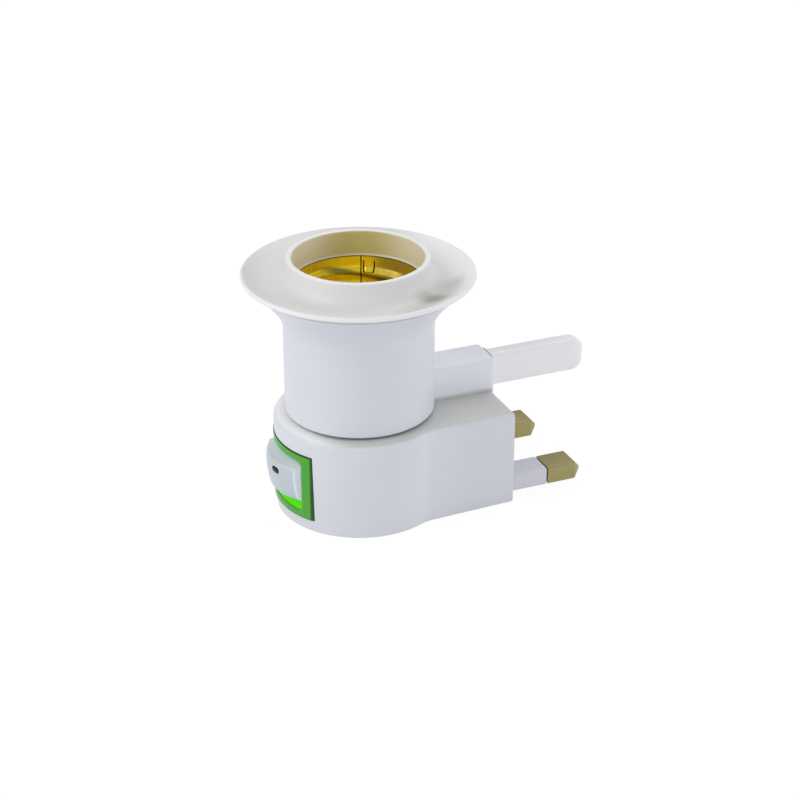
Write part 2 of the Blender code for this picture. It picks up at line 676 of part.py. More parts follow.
def rivet_profile(top_z, foot_z):
    """A rivet between two faces, with a low head on both."""
    head = RIVET_HEAD_HEIGHT
    wide = RIVET_HEAD_RADIUS
    flat = wide * HEAD_FLAT_SHARE
    side = head * HEAD_SIDE_SHARE
    return [(0.0, top_z + head), (flat, top_z + head), (wide, top_z + side), (wide, top_z),
            (RIVET_RADIUS, top_z), (RIVET_RADIUS, foot_z), (wide, foot_z), (wide, foot_z - side),
            (flat, foot_z - head), (0.0, foot_z - head)]


def make_rivets(look):
    foot = CARRIER_Z - CLEARANCE
    first = turned("shell_rivet_1", rivet_profile(SHELL_FOOT_Z + SHELL_WALL + CLEARANCE, foot), look, 12,
                   (0.0, -SHELL_RIVET_RING, 0.0))
    bake(first)
    smooth(first)
    copy_of(first, "shell_rivet_2", (0.0, SHELL_RIVET_RING, 0.0))
    centre = turned("centre_rivet", rivet_profile(TONGUE_Z + TONGUE_THICKNESS + CLEARANCE, foot), look, 12,
                    (CENTRE_RIVET_X, 0.0, 0.0))
    smooth(centre)


def make_centre_contact(look):
    """A springy tongue: flat under its rivet, then a rising arm with a rounded end."""
    start_x = CENTRE_RIVET_X - TONGUE_WIDTH / 2
    bend_x = CENTRE_RIVET_X + TONGUE_WIDTH / 2
    crest = (TONGUE_REACH - TONGUE_RISE / 2, TONGUE_Z + TONGUE_RISE)
    spine = [(start_x, TONGUE_Z), (bend_x, TONGUE_Z)]
    for i in range(1, 7):
        t = i / 7
        ease = t * t * (3 - 2 * t)
        spine.append((bend_x + (crest[0] - bend_x) * t, TONGUE_Z + TONGUE_RISE * ease))
    spine += arc((crest[0], crest[1] - TONGUE_RISE / 2), TONGUE_RISE / 2, 90.0, -20.0, 6)
    bm = bmesh.new()
    rows = []
    for y in (-TONGUE_WIDTH / 2, TONGUE_WIDTH / 2):
        rows.append([bm.verts.new((x, y, z)) for x, z in spine])
    for i in range(len(spine) - 1):
        bm.faces.new((rows[0][i], rows[0][i + 1], rows[1][i + 1], rows[1][i]))
    tongue = add_object("centre_contact", mesh_from(bm, "centre_contact"), look)
    wall = tongue.modifiers.new("Sheet", "SOLIDIFY")
    wall.thickness = TONGUE_THICKNESS
    wall.offset = 1.0
    wall.use_even_offset = True
    cut(tongue, rod("tongue_hole", RIVET_RADIUS + CLEARANCE,
                    (CENTRE_RIVET_X, 0.0, TONGUE_Z - TONGUE_THICKNESS),
                    (CENTRE_RIVET_X, 0.0, TONGUE_Z + TONGUE_THICKNESS * 3), segments=16))
    smooth(tongue)


def make_switch_bezel(look):
    """The green switch body: a frame that follows the round wall, and the well behind it."""
    front = -BEZEL_RADIUS - BASE_WALL
    frame = box("switch_bezel", (front, -BEZEL_HALF_WIDTH, SWITCH_Z - BEZEL_HALF_HEIGHT),
                (-BEZEL_RADIUS / 2, BEZEL_HALF_WIDTH, SWITCH_Z + BEZEL_HALF_HEIGHT), look)
    low_z, high_z = -BASE_WALL, BASE_HEIGHT + BASE_WALL
    cut(frame, rod("bezel_back", BEZEL_RADIUS - BEZEL_THICKNESS, (0.0, 0.0, low_z), (0.0, 0.0, high_z),
                   segments=96))
    join(frame, box("well_body", (front, -WELL_HALF_WIDTH, SWITCH_Z - WELL_HALF_HEIGHT),
                    (WELL_BACK_X, WELL_HALF_WIDTH, SWITCH_Z + WELL_HALF_HEIGHT)))
    round_front = rod("bezel_front", BEZEL_RADIUS, (0.0, 0.0, low_z), (0.0, 0.0, high_z), segments=96)
    boolean(frame, round_front, "INTERSECT")
    cut(frame, box("well_hollow", (front, -WINDOW_HALF_WIDTH, SWITCH_Z - WINDOW_HALF_HEIGHT),
                   (WELL_FLOOR_X, WINDOW_HALF_WIDTH, SWITCH_Z + WINDOW_HALF_HEIGHT),
                   edge=WELL_CORNER_RADIUS))
    hole_end = WELL_HALF_WIDTH + OVERRUN
    cut(frame, rod("trunnion_holes", TRUNNION_RADIUS + CLEARANCE, (ROCKER_PIVOT_X, -hole_end, SWITCH_Z),
                   (ROCKER_PIVOT_X, hole_end, SWITCH_Z), segments=24))
    slot_y = TERMINAL_WIDTH / 2 + CLEARANCE
    slot_z = TERMINAL_THICKNESS / 2 + CLEARANCE
    for name, z in (("fulcrum_slot", SWITCH_Z), ("side_slot", SWITCH_Z + SIDE_TERMINAL_OFFSET)):
        cut(frame, box(name, (WELL_FLOOR_X - WELL_WALL, -slot_y, z - slot_z),
                       (WELL_BACK_X + WELL_WALL, slot_y, z + slot_z)))
    smooth(frame)


def face_depth(y, z):
    """How far the rocker's curved face lies behind its crown."""
    return y * y / (2 * ROCKER_CROWN_RADIUS) + z * z / (2 * ROCKER_SWEEP_RADIUS)


def lay_on_face(target, depth):
    """Lay a flat piece on the rocker's curved face where the mark goes, a given depth behind it."""
    face_x = ROCKER_FACE_X - ROCKER_PIVOT_X + face_depth(MARK_SHIFT, MARK_RISE)
    outwards = Vector((-1.0, -MARK_SHIFT / ROCKER_CROWN_RADIUS, MARK_RISE / ROCKER_SWEEP_RADIUS)).normalized()
    target.location = Vector((face_x, -MARK_SHIFT, MARK_RISE)) - depth * outwards
    target.rotation_euler = outwards.to_track_quat("Z", "X").to_euler()


def make_switch_rocker(look):
    """A crowned rocker on two trunnions, hollow behind, with a tube for its sprung plunger."""
    half_y = WINDOW_HALF_WIDTH - ROCKER_GAP
    reach = ROCKER_PIVOT_X - ROCKER_FACE_X
    tilt = math.radians(ROCKER_TILT_DEGREES)
    half_z = (WINDOW_HALF_HEIGHT - ROCKER_GAP - reach * math.sin(tilt)) / math.cos(tilt)
    back = ROCKER_BACK_X - ROCKER_PIVOT_X
    bm = bmesh.new()
    bmesh.ops.create_grid(bm, x_segments=6, y_segments=6, size=0.5)
    front = [vert for vert in bm.verts]
    for vert in front:
        y, z = vert.co.x * 2 * half_y, vert.co.y * 2 * half_z
        vert.co = (face_depth(y, z) - reach, y, z)
    pushed = bmesh.ops.extrude_face_region(bm, geom=bm.faces[:])
    for vert in [item for item in pushed["geom"] if isinstance(item, bmesh.types.BMVert)]:
        vert.co.x = back
        vert.co.z += math.copysign(ROCKER_END_SLOPE, vert.co.z) * abs(vert.co.z) / half_z
    bmesh.ops.recalc_face_normals(bm, faces=bm.faces)
    pivot = (ROCKER_PIVOT_X, 0.0, SWITCH_Z)
    rocker = add_object("switch_rocker", mesh_from(bm, "switch_rocker"), look, pivot)
    bevel(rocker, ROCKER_EDGE_RADIUS, 2, 50.0)
    hollow_front = face_depth(half_y - ROCKER_WALL, half_z - ROCKER_WALL) + ROCKER_WALL - reach
    hollow = box("rocker_hollow", (hollow_front, ROCKER_WALL - half_y, ROCKER_WALL - half_z),
                 (-back + reach, half_y - ROCKER_WALL, half_z - ROCKER_WALL))
    tube_radius = PLUNGER_SHOULDER + CLEARANCE + PLUNGER_TUBE_WALL
    tube = rod("plunger_tube", tube_radius, (ROCKER_WALL - reach, 0.0, 0.0), (back, 0.0, 0.0), segments=24)
    bore = rod("plunger_bore", PLUNGER_SHOULDER + CLEARANCE, (ROCKER_FRONT_WALL - reach, 0.0, 0.0),
               (reach, 0.0, 0.0), segments=24)
    shaft_end = WELL_HALF_WIDTH - CLEARANCE
    trunnions = rod("trunnions", TRUNNION_RADIUS, (0.0, -shaft_end, 0.0), (0.0, shaft_end, 0.0), segments=24)
    core = box("trunnion_gap", (-TRUNNION_RADIUS * 2, ROCKER_WALL - half_y, -TRUNNION_RADIUS * 2),
               (TRUNNION_RADIUS * 2, half_y - ROCKER_WALL, TRUNNION_RADIUS * 2))
    cut(trunnions, core)
    recess = outline_slab("mark_recess", stadium(MARK_LENGTH, MARK_HEIGHT, CLEARANCE),
                          2 * (MARK_THICKNESS + CLEARANCE))
    lay_on_face(recess, 0.0)
    for piece in (hollow, tube, bore, trunnions, recess):
        piece.parent = rocker
    cut(rocker, hollow)
    join(rocker, tube, trunnions)
    cut(rocker, bore, recess)
    rocker.rotation_euler.y = -tilt
    smooth(rocker)
    return rocker


def along_x(target, place):
    """Stand a shape that was made along Z on its +X direction, from a given place."""
    target.location = place
    target.rotation_euler.y = math.pi / 2
    return target


def make_rocker_mark(look, rocker):
    mark = outline_slab("rocker_mark", stadium(MARK_LENGTH, MARK_HEIGHT), MARK_THICKNESS, look)
    mark.parent = rocker
    lay_on_face(mark, MARK_THICKNESS / 2)


def make_plunger(look, spring_look, rocker):
    tip_x = SEESAW_X - SEESAW_THICKNESS / 2 - CLEARANCE - ROCKER_PIVOT_X
    radius = PLUNGER_RADIUS
    profile = [(x, y) for x, y in reversed(arc((0.0, PLUNGER_LENGTH - radius), radius, 0.0, 90.0, 4))]
    profile[0] = (0.0, PLUNGER_LENGTH)
    profile += [(radius, PLUNGER_SHOULDER_LENGTH), (PLUNGER_SHOULDER, PLUNGER_SHOULDER_LENGTH),
                (PLUNGER_SHOULDER, 0.0), (0.0, 0.0)]
    plunger = turned("rocker_plunger", profile, look, 16)
    plunger.parent = rocker
    along_x(plunger, (tip_x - PLUNGER_LENGTH, 0.0, 0.0))
    smooth(plunger)

    seat_x = ROCKER_FACE_X - ROCKER_PIVOT_X + ROCKER_FRONT_WALL
    first = seat_x + CLEARANCE + SPRING_WIRE_RADIUS
    last = tip_x - PLUNGER_LENGTH - CLEARANCE - SPRING_WIRE_RADIUS
    coil_radius = PLUNGER_SHOULDER - SPRING_WIRE_RADIUS
    count = SPRING_TURNS * 8
    points = []
    for i in range(count + 1):
        turn = 2 * math.pi * SPRING_TURNS * i / count
        points.append((first + (last - first) * i / count,
                       coil_radius * math.cos(turn), coil_radius * math.sin(turn)))
    spring = tube_along("plunger_spring", points, SPRING_WIRE_RADIUS, spring_look)
    spring.parent = rocker


def make_seesaw(look):
    half_y = SEESAW_WIDTH / 2
    half_x = SEESAW_THICKNESS / 2
    seesaw = box("seesaw_contact", (-half_x, -half_y, -SEESAW_HALF_LENGTH),
                 (half_x, half_y, SEESAW_HALF_LENGTH), look, edge=SEESAW_THICKNESS / 5, segments=1)
    for number, side in enumerate((-1, 1), 1):
        z = side * (SEESAW_HALF_LENGTH - PIP_INSET)
        pip = rod(f"contact_pip_{number}", PIP_RADIUS, (0.0, 0.0, z), (SEESAW_THICKNESS, 0.0, z),
                  segments=16, end_radius=PIP_TIP_RADIUS)
        pip.parent = seesaw
        join(seesaw, pip)
    seesaw.location = (SEESAW_X, 0.0, SWITCH_Z)
    seesaw.rotation_euler.y = math.radians(SEESAW_TILT_DEGREES)


def make_terminals(look):
    tilt = math.radians(SEESAW_TILT_DEGREES)
    half_y = TERMINAL_WIDTH / 2
    half_z = TERMINAL_THICKNESS / 2
    fulcrum_x = SEESAW_X + SEESAW_THICKNESS / 2 + CLEARANCE + half_z * math.sin(tilt)
    side_x = SEESAW_X + SEESAW_THICKNESS * math.cos(tilt) + SEESAW_HALF_LENGTH * math.sin(tilt) + CLEARANCE
    for name, front, z in (("fulcrum_terminal", fulcrum_x, SWITCH_Z),
                           ("side_terminal", side_x, SWITCH_Z + SIDE_TERMINAL_OFFSET)):
        terminal = box(name, (front, -half_y, z - half_z), (TERMINAL_TAIL_X, half_y, z + half_z), look,
                       edge=TERMINAL_THICKNESS / 8, segments=1)
        eye_x = TERMINAL_TAIL_X - half_y
        cut(terminal, rod(name + "_eye", TERMINAL_EYE_RADIUS, (eye_x, 0.0, z - half_y),
                          (eye_x, 0.0, z + half_y), segments=16))


def section(height, width, corner):
    """A rounded rectangle; its height runs along X and its width along Y."""
    half_x, half_y = height / 2 - corner, width / 2 - corner
    points = []
    for sign_x, sign_y, first in ((1, 1, 0.0), (-1, 1, 90.0), (-1, -1, 180.0), (1, -1, 270.0)):
        points += arc((sign_x * half_x, sign_y * half_y), corner, first, first + 90.0, 3)
    return points


def make_plug_pin(name, look, y):
    """A flat brass pin: a full-size end with a bevelled tip, a slim core and a clamping head."""
    tip = PIN_TIP_LENGTH
    edge = PIN_EDGE_RADIUS
    full = section(PIN_THICKNESS, PIN_WIDTH, edge)
    point = section(PIN_TIP_THICKNESS, PIN_TIP_WIDTH, edge)
    start = SLEEVE_LENGTH + CLEARANCE
    pin = loft(name, [(full, start), (full, PIN_LENGTH - tip), (point, PIN_LENGTH)], look)
    along_x(pin, (BLOCK_REAR_X, y, PIN_Z))
    slim = 2 * (SLEEVE_WALL + CLEARANCE)
    core = section(PIN_THICKNESS - slim, PIN_WIDTH - slim, edge)
    core_length = BLOCK_REAR_X - PIN_HEAD_FRONT_X + start + edge * 2
    stem = along_x(loft(name + "_core", [(core, 0.0), (core, core_length)]),
                   (PIN_HEAD_FRONT_X - edge, y, PIN_Z))
    head_y = pin_head_y(y)
    head_top = PIN_FOOT_Z + PIN_HEAD_HEIGHT
    head = box(name + "_head", (PIN_HEAD_BACK_X, head_y - PIN_HEAD_WIDTH / 2, PIN_FOOT_Z),
               (PIN_HEAD_FRONT_X, head_y + PIN_HEAD_WIDTH / 2, head_top), edge=edge, segments=2)
    join(pin, stem, head)
    cut(pin,
        rod(name + "_wire_bore", WIRE_RADIUS + CLEARANCE, (PIN_HEAD_BACK_X - edge, head_y, CLAMP_WIRE_Z),
            (PIN_HEAD_FRONT_X - WIRE_BORE_END_WALL, head_y, CLAMP_WIRE_Z), segments=16),
        rod(name + "_screw_bore", CLAMP_SCREW_RADIUS + CLEARANCE, (CLAMP_SCREW_X, head_y, CLAMP_WIRE_Z),
            (CLAMP_SCREW_X, head_y, head_top + PIN_HEAD_HEIGHT), segments=16))
    smooth(pin)


def pin_head_y(y):
    """The clamping head sits a little nearer the middle than its pin, clear of the side wall."""
    return y - math.copysign(PIN_HEAD_SHIFT, y)


def make_clamp_screws(look):
    top_z = PIN_FOOT_Z + PIN_HEAD_HEIGHT + CLEARANCE
    foot_z = CLAMP_WIRE_Z + WIRE_RADIUS + CLEARANCE
    head = SCREW_HEAD_HEIGHT
    wide = SCREW_HEAD_RADIUS
    profile = [(0.0, top_z + head), (wide * HEAD_FLAT_SHARE, top_z + head),
               (wide, top_z + head * HEAD_SIDE_SHARE), (wide, top_z),
               (CLAMP_SCREW_RADIUS, top_z), (CLAMP_SCREW_RADIUS, foot_z), (0.0, foot_z)]
    first = turned("clamp_screw_1", profile, look, 16)
    cut(first, box("clamp_slot", (-wide * 2, -DRIVE_SLOT_WIDTH / 2, top_z + head - DRIVE_SLOT_DEPTH),
                   (wide * 2, DRIVE_SLOT_WIDTH / 2, top_z + head * 2)))
    bake(first)
    smooth(first)
    first.location = (CLAMP_SCREW_X, pin_head_y(-PIN_HALF_SPACING), 0.0)
    copy_of(first, "clamp_screw_2", (CLAMP_SCREW_X, pin_head_y(PIN_HALF_SPACING), 0.0))


def make_pin_sleeve(name, look, y):
    """The moulded sleeve on a pin's root, with a collar that stays behind the plug face."""
    edge = PIN_EDGE_RADIUS
    collar_x = PLUG_INNER_X - CLEARANCE
    full = section(PIN_THICKNESS, PIN_WIDTH, edge)
    wide = section(PIN_THICKNESS + 2 * SLEEVE_COLLAR, PIN_WIDTH, edge)
    length = BLOCK_REAR_X + SLEEVE_LENGTH - collar_x
    rings = [(wide, -SLEEVE_WALL), (wide, 0.0), (full, OVERRUN / 10), (full, length)]
    sleeve = along_x(loft(name, rings, look), (collar_x, y, PIN_Z))
    slim = 2 * SLEEVE_WALL
    hollow = section(PIN_THICKNESS - slim, PIN_WIDTH - slim, edge)
    bore = along_x(loft(name + "_bore", [(hollow, 0.0), (hollow, length + 4 * SLEEVE_WALL)]),
                   (collar_x - 2 * SLEEVE_WALL, y, PIN_Z))
    cut(sleeve, bore)
    smooth(sleeve)


def make_earth_pin(look):
    """The plastic earth pin: a soft root, a long blade, a rounded tip and a barbed tenon."""
    length = EARTH_PIN_LENGTH
    tip = EARTH_PIN_TIP_LENGTH
    corner = EARTH_PIN_EDGE_RADIUS
    rings = []
    for x, y in arc((0.0, 0.0), 1.0, 180.0, 90.0, 4):
        wide = EARTH_PIN_WIDTH + 2 * EARTH_ROOT_FLARE * (1 - y)
        rings.append((section(EARTH_PIN_HEIGHT, wide, corner), EARTH_ROOT_LENGTH * (1 + x)))
    last = math.radians(EARTH_PIN_TIP_DEGREES)
    for x, y in arc((0.0, 0.0), 1.0, 90.0, EARTH_PIN_TIP_DEGREES, 5):
        share = (1 - y) / (1 - math.sin(last))
        taper = section(EARTH_PIN_HEIGHT + (EARTH_PIN_TIP_HEIGHT - EARTH_PIN_HEIGHT) * share,
                        EARTH_PIN_WIDTH + (EARTH_PIN_TIP_WIDTH - EARTH_PIN_WIDTH) * share,
                        corner + (EARTH_PIN_TIP_EDGE_RADIUS - corner) * share)
        rings.append((taper, length - tip + tip * x / math.cos(last)))
    pin = along_x(loft("earth_pin", rings, look), (BLOCK_REAR_X + CLEARANCE, 0.0, EARTH_PIN_Z))
    half_y = EARTH_TENON_WIDTH / 2
    half_z = EARTH_TENON_HEIGHT / 2
    barb_x = PLUG_INNER_X - CLEARANCE
    barb_z = half_z - CLEARANCE
    join(pin,
         box("tenon", (barb_x - 2 * EARTH_BARB_LENGTH, -half_y, EARTH_PIN_Z - half_z),
             (BLOCK_REAR_X + EARTH_ROOT_LENGTH, half_y, EARTH_PIN_Z + half_z)),
         box("barb", (barb_x - EARTH_BARB_LENGTH, -half_y - EARTH_BARB, EARTH_PIN_Z - barb_z),
             (barb_x, half_y + EARTH_BARB, EARTH_PIN_Z + barb_z)))
    smooth(pin)


def make_wires(live_look, neutral_look):
    """Insulated wires: plug pins to the switch and the shell, and the switch to the centre contact."""
    wire_z = CLAMP_WIRE_Z
    head_back = PIN_HEAD_BACK_X
    pin_end = head_back + WIRE_GRIP
    pass_x = (REAR_POST_X + head_back) / 2
    pass_y = REAR_POST_Y - POST_RADIUS * 1.5
    pin_y = pin_head_y(PIN_HALF_SPACING)
    tail = TERMINAL_TAIL_X + CLEARANCE
    rivet_foot = CARRIER_Z - 2 * CLEARANCE - RIVET_HEAD_HEIGHT
    side_z = SWITCH_Z + SIDE_TERMINAL_OFFSET
    tube_along("live_wire", smooth_route([
        (pin_end, -pin_y, wire_z), (head_back, -pin_y, wire_z),
        (head_back - 3 * WIRE_RADIUS, -pin_y, wire_z), (pass_x, -pass_y, wire_z),
        (REAR_POST_X / 2, -pass_y / 2, SWITCH_Z * 0.7), (tail + 4 * WIRE_RADIUS, 0.0, SWITCH_Z),
        (tail, 0.0, SWITCH_Z)]), WIRE_RADIUS, live_look)
    tube_along("switched_wire", smooth_route([
        (tail, 0.0, side_z), (tail + 4 * WIRE_RADIUS, 0.0, side_z + WIRE_RADIUS),
        (tail + 4 * WIRE_RADIUS, 0.0, ROOF_Z - 3 * WIRE_RADIUS),
        (CENTRE_RIVET_X, 0.0, BASE_HEIGHT - WIRE_RADIUS),
        (CENTRE_RIVET_X, 0.0, rivet_foot)]), WIRE_RADIUS, live_look)
    hole_y = ROOF_HOLE_RADIUS - 3 * WIRE_RADIUS
    tube_along("neutral_wire", smooth_route([
        (pin_end, pin_y, wire_z), (head_back, pin_y, wire_z),
        (head_back - 3 * WIRE_RADIUS, pin_y, wire_z), (pass_x, pass_y, wire_z),
        (REAR_POST_X / 2, pass_y, SWITCH_Z), (0.0, hole_y - WIRE_RADIUS, ROOF_Z - 3 * WIRE_RADIUS),
        (0.0, hole_y, BASE_HEIGHT - WIRE_RADIUS), (0.0, hole_y + WIRE_RADIUS, BASE_HEIGHT + WIRE_RADIUS),
        (0.0, SHELL_RIVET_RING - WIRE_RADIUS, rivet_foot - WIRE_RADIUS)]), WIRE_RADIUS, neutral_look)


for old in list(bpy.data.objects):
    bpy.data.objects.remove(old)

parts = new_collection("lamp_socket_adapter")
cutters = new_collection("cutters")

white = material("white_plastic", (0.86, 0.86, 0.88), 0.38)
barrel_white = material("barrel_plastic", (0.84, 0.85, 0.87), 0.42)
pin_white = material("pin_plastic", (0.92, 0.92, 0.93), 0.35)
rocker_grey = material("rocker_plastic", (0.80, 0.80, 0.84), 0.36)
green = material("green_plastic", (0.10, 0.42, 0.06), 0.30)
mark_red = material("mark_lens", (0.05, 0.005, 0.02), 0.25)
brass = material("brass", (0.78, 0.57, 0.12), 0.28, 1.0)
pin_brass = material("pin_brass", (0.52, 0.46, 0.20), 0.34, 1.0)
steel = material("plated_steel", (0.62, 0.62, 0.60), 0.30, 1.0)
nylon = material("cream_nylon", (0.80, 0.76, 0.66), 0.50)
brown = material("brown_insulation", (0.16, 0.06, 0.02), 0.45)
blue = material("blue_insulation", (0.02, 0.09, 0.40), 0.45)

make_base_housing(white)
make_bottom_cover(white)
make_cover_screws(steel)
make_socket_barrel(barrel_white)
make_barrel_screws(steel)
make_screw_shell(brass)
make_contact_carrier(nylon)
make_rivets(brass)
make_centre_contact(brass)
make_switch_bezel(green)
rocker_part = make_switch_rocker(rocker_grey)
make_rocker_mark(mark_red, rocker_part)
make_plunger(nylon, steel, rocker_part)
make_seesaw(brass)
make_terminals(brass)
make_plug_pin("live_pin", pin_brass, -PIN_HALF_SPACING)
make_plug_pin("neutral_pin", pin_brass, PIN_HALF_SPACING)
make_clamp_screws(steel)
make_pin_sleeve("live_pin_sleeve", pin_white, -PIN_HALF_SPACING)
make_pin_sleeve("neutral_pin_sleeve", pin_white, PIN_HALF_SPACING)
make_earth_pin(pin_white)
make_wires(brown, blue)
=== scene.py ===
# %% [markdown]
# # A switched lamp socket adapter
#
# The real object is a white lamp holder that plugs straight into a wall socket. A barrel with a broad
# flange holds a brass screw shell, and a keyhole-shaped base carries a rocker switch and three plug pins.
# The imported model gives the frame: every piece below takes its place from it, in metres, with the lamp
# axis on Z, the pins along +X and the switch facing -X.

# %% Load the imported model
import json
import math

import bpy
from mathutils import Matrix, Vector


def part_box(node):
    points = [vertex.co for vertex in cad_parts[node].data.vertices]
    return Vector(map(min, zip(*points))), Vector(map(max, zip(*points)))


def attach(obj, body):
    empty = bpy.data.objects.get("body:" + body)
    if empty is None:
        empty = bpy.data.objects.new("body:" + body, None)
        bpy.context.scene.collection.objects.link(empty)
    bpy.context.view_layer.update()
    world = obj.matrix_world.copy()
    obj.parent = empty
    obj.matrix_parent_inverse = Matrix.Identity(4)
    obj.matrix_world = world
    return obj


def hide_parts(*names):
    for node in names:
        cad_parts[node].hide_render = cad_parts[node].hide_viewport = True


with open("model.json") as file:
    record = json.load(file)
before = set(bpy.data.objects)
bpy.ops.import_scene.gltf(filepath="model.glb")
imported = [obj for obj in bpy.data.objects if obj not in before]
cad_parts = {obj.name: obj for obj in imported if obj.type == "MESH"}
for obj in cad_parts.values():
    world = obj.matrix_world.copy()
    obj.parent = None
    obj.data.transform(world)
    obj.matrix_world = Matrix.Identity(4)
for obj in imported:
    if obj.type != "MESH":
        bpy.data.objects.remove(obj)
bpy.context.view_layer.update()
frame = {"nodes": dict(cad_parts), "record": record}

# %% [markdown]
# ## Working by hand, in code
#
# Blender's operators act on whatever is selected, so each step first lets go of everything and takes hold
# of one piece. Two habits make most pieces of this object. A chain of edges is drawn by extruding one
# point again and again. It is then spun round the lamp axis, or filled and pulled up as an outline.

# %% Take hold of a piece, draw a chain, spin it
TOUCHING = 0.000001


def mode(name):
    bpy.ops.object.mode_set(mode=name)


def let_go():
    if bpy.context.object and bpy.context.object.mode == "EDIT":
        mode("OBJECT")
    bpy.ops.object.select_all(action="DESELECT")


def take(piece):
    let_go()
    piece.select_set(True)
    bpy.context.view_layer.objects.active = piece
    return piece


def named(name):
    piece = bpy.context.object
    piece.name = name
    piece.data.name = name
    return piece


def draw_chain(name, points):
    """One edge after another through the points, each pulled out of the last point."""
    let_go()
    bpy.ops.mesh.primitive_plane_add(size=0.001)
    piece = named(name)
    mode("EDIT")
    bpy.ops.mesh.merge(type="CENTER")
    bpy.ops.transform.translate(value=Vector(points[0]))
    for here, there in zip(points, points[1:]):
        pull(Vector(there) - Vector(here))
    return piece


def pull(step):
    bpy.ops.mesh.extrude_region_move(TRANSFORM_OT_translate={"value": step})


def merge(threshold=TOUCHING):
    bpy.ops.mesh.select_all(action="SELECT")
    bpy.ops.mesh.remove_doubles(threshold=threshold)


def close_up(threshold=TOUCHING):
    """Merge what coincides and turn every face outwards."""
    merge(threshold)
    bpy.ops.mesh.normals_make_consistent(inside=False)
    mode("OBJECT")


def soften(piece, degrees=30.0):
    take(piece)
    bpy.ops.object.shade_smooth_by_angle(angle=math.radians(degrees))
    return piece


def turned(name, profile, steps):
    """Spin a closed profile of (radius, height) points once round the lamp axis."""
    piece = draw_chain(name, [(radius, 0.0, height) for radius, height in profile])
    bpy.ops.mesh.select_all(action="SELECT")
    bpy.ops.mesh.spin(steps=steps, angle=math.tau, center=(0.0, 0.0, 0.0), axis=(0.0, 0.0, 1.0))
    close_up(2 * TOUCHING)
    return soften(piece)


def arc(centre, radius, first, last, steps):
    """Points of an arc, its angles in degrees."""
    made = []
    for i in range(steps + 1):
        angle = math.radians(first + (last - first) * i / steps)
        made.append((centre[0] + radius * math.cos(angle), centre[1] + radius * math.sin(angle)))
    return made


def report(piece):
    size = [round(value * 1000, 1) for value in piece.dimensions]
    print(piece.name, "faces:", len(piece.data.polygons), "size in mm:", size)


# %% [markdown]
# ## The barrel
#
# The barrel is one moulding: a collar round the mouth, a shallow dish, a thin rounded rim, and a trumpet
# flare that runs down into a straight barrel. Inside are a bore and a ledge that the brass shell sits on.
# It could be a lathe modifier or a stack of scaled circles. A drawn profile that is spun once is chosen,
# because a moulding like this is designed as its section, and every radius can be read from it.

# %% The barrel's section
GAP = 0.0003
BARREL_RADIUS = 0.0162
BARREL_BORE = 0.0138
BARREL_FLOOR_HOLE = 0.0125
LEDGE_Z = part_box("contact_carrier")[0].z - GAP
COLLAR_BORE = 0.0140
COLLAR_RADIUS = 0.0153
COLLAR_LIP = 0.0005
DISH_RADIUS = 0.0186
DISH_BLEND = 0.0033
DISH_DEPTH = 0.0020
RIM_RADIUS = 0.0249
RIM_THICKNESS = 0.0012
LIP_STEP = 0.0002
FLARE_START_Z = 0.0426
FLARE_POWER = 1.6
FOOT_CHAMFER = 0.0005
RIM_DROP = 0.0033
LIP_STEPS = 6
DISH_STEPS = 12
RIM_STEPS = 14
FLARE_STEPS = 28
ROUND_SIDES = 144

barrel_low, barrel_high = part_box("socket_barrel")
shell_top_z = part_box("screw_shell")[1].z
collar_top_z = barrel_high.z
rim_top_z = collar_top_z - RIM_DROP

section = arc((COLLAR_BORE + COLLAR_LIP, collar_top_z - COLLAR_LIP), COLLAR_LIP, 180.0, 90.0, LIP_STEPS)
section += arc((COLLAR_RADIUS - COLLAR_LIP, collar_top_z - COLLAR_LIP), COLLAR_LIP, 90.0, 0.0, LIP_STEPS)
dish_z = rim_top_z - DISH_DEPTH
section += arc((DISH_RADIUS, dish_z + DISH_BLEND), DISH_BLEND, 180.0, 270.0, DISH_STEPS)
rim_inner = RIM_RADIUS - RIM_THICKNESS / 2
for i in range(1, DISH_STEPS):
    share = i / DISH_STEPS
    rise = DISH_DEPTH * (1 - math.cos(math.pi / 2 * share))
    section.append((DISH_RADIUS + (rim_inner - DISH_RADIUS) * share, dish_z + rise))
section += arc((rim_inner, rim_top_z - RIM_THICKNESS / 2), RIM_THICKNESS / 2, 90.0, -90.0, RIM_STEPS)
flare_top = (rim_inner - LIP_STEP, rim_top_z - RIM_THICKNESS - LIP_STEP / 2)
section.append(flare_top)
for i in range(1, FLARE_STEPS + 1):
    share = 1 - i / FLARE_STEPS
    radius = BARREL_RADIUS + (flare_top[0] - BARREL_RADIUS) * share ** FLARE_POWER
    section.append((radius, FLARE_START_Z + (flare_top[1] - FLARE_START_Z) * share))
section += [(BARREL_RADIUS, barrel_low.z + FOOT_CHAMFER), (BARREL_RADIUS - FOOT_CHAMFER, barrel_low.z),
            (BARREL_FLOOR_HOLE, barrel_low.z), (BARREL_FLOOR_HOLE, LEDGE_Z), (BARREL_BORE, LEDGE_Z),
            (BARREL_BORE, shell_top_z + GAP), (COLLAR_BORE, shell_top_z + 2 * GAP), section[0]]
print("points in the section:", len(section))

# %% Spin the barrel
barrel = turned("barrel", section, ROUND_SIDES)
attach(barrel, "adapter")
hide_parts("socket_barrel")
report(barrel)

# %% [markdown]
# ## The brass screw shell
#
# The shell is thin sheet brass, rolled into a drum with a coarse round thread, so its thread shows on both
# sides. A seam runs down it, and beside the seam a small tab is cut on three sides. A screw modifier gives
# a thread with no plain lip. Here a flat grid is rolled round the axis instead, with each point's radius
# from the thread's wave, because a real shell is made in the same way, from a flat strip.

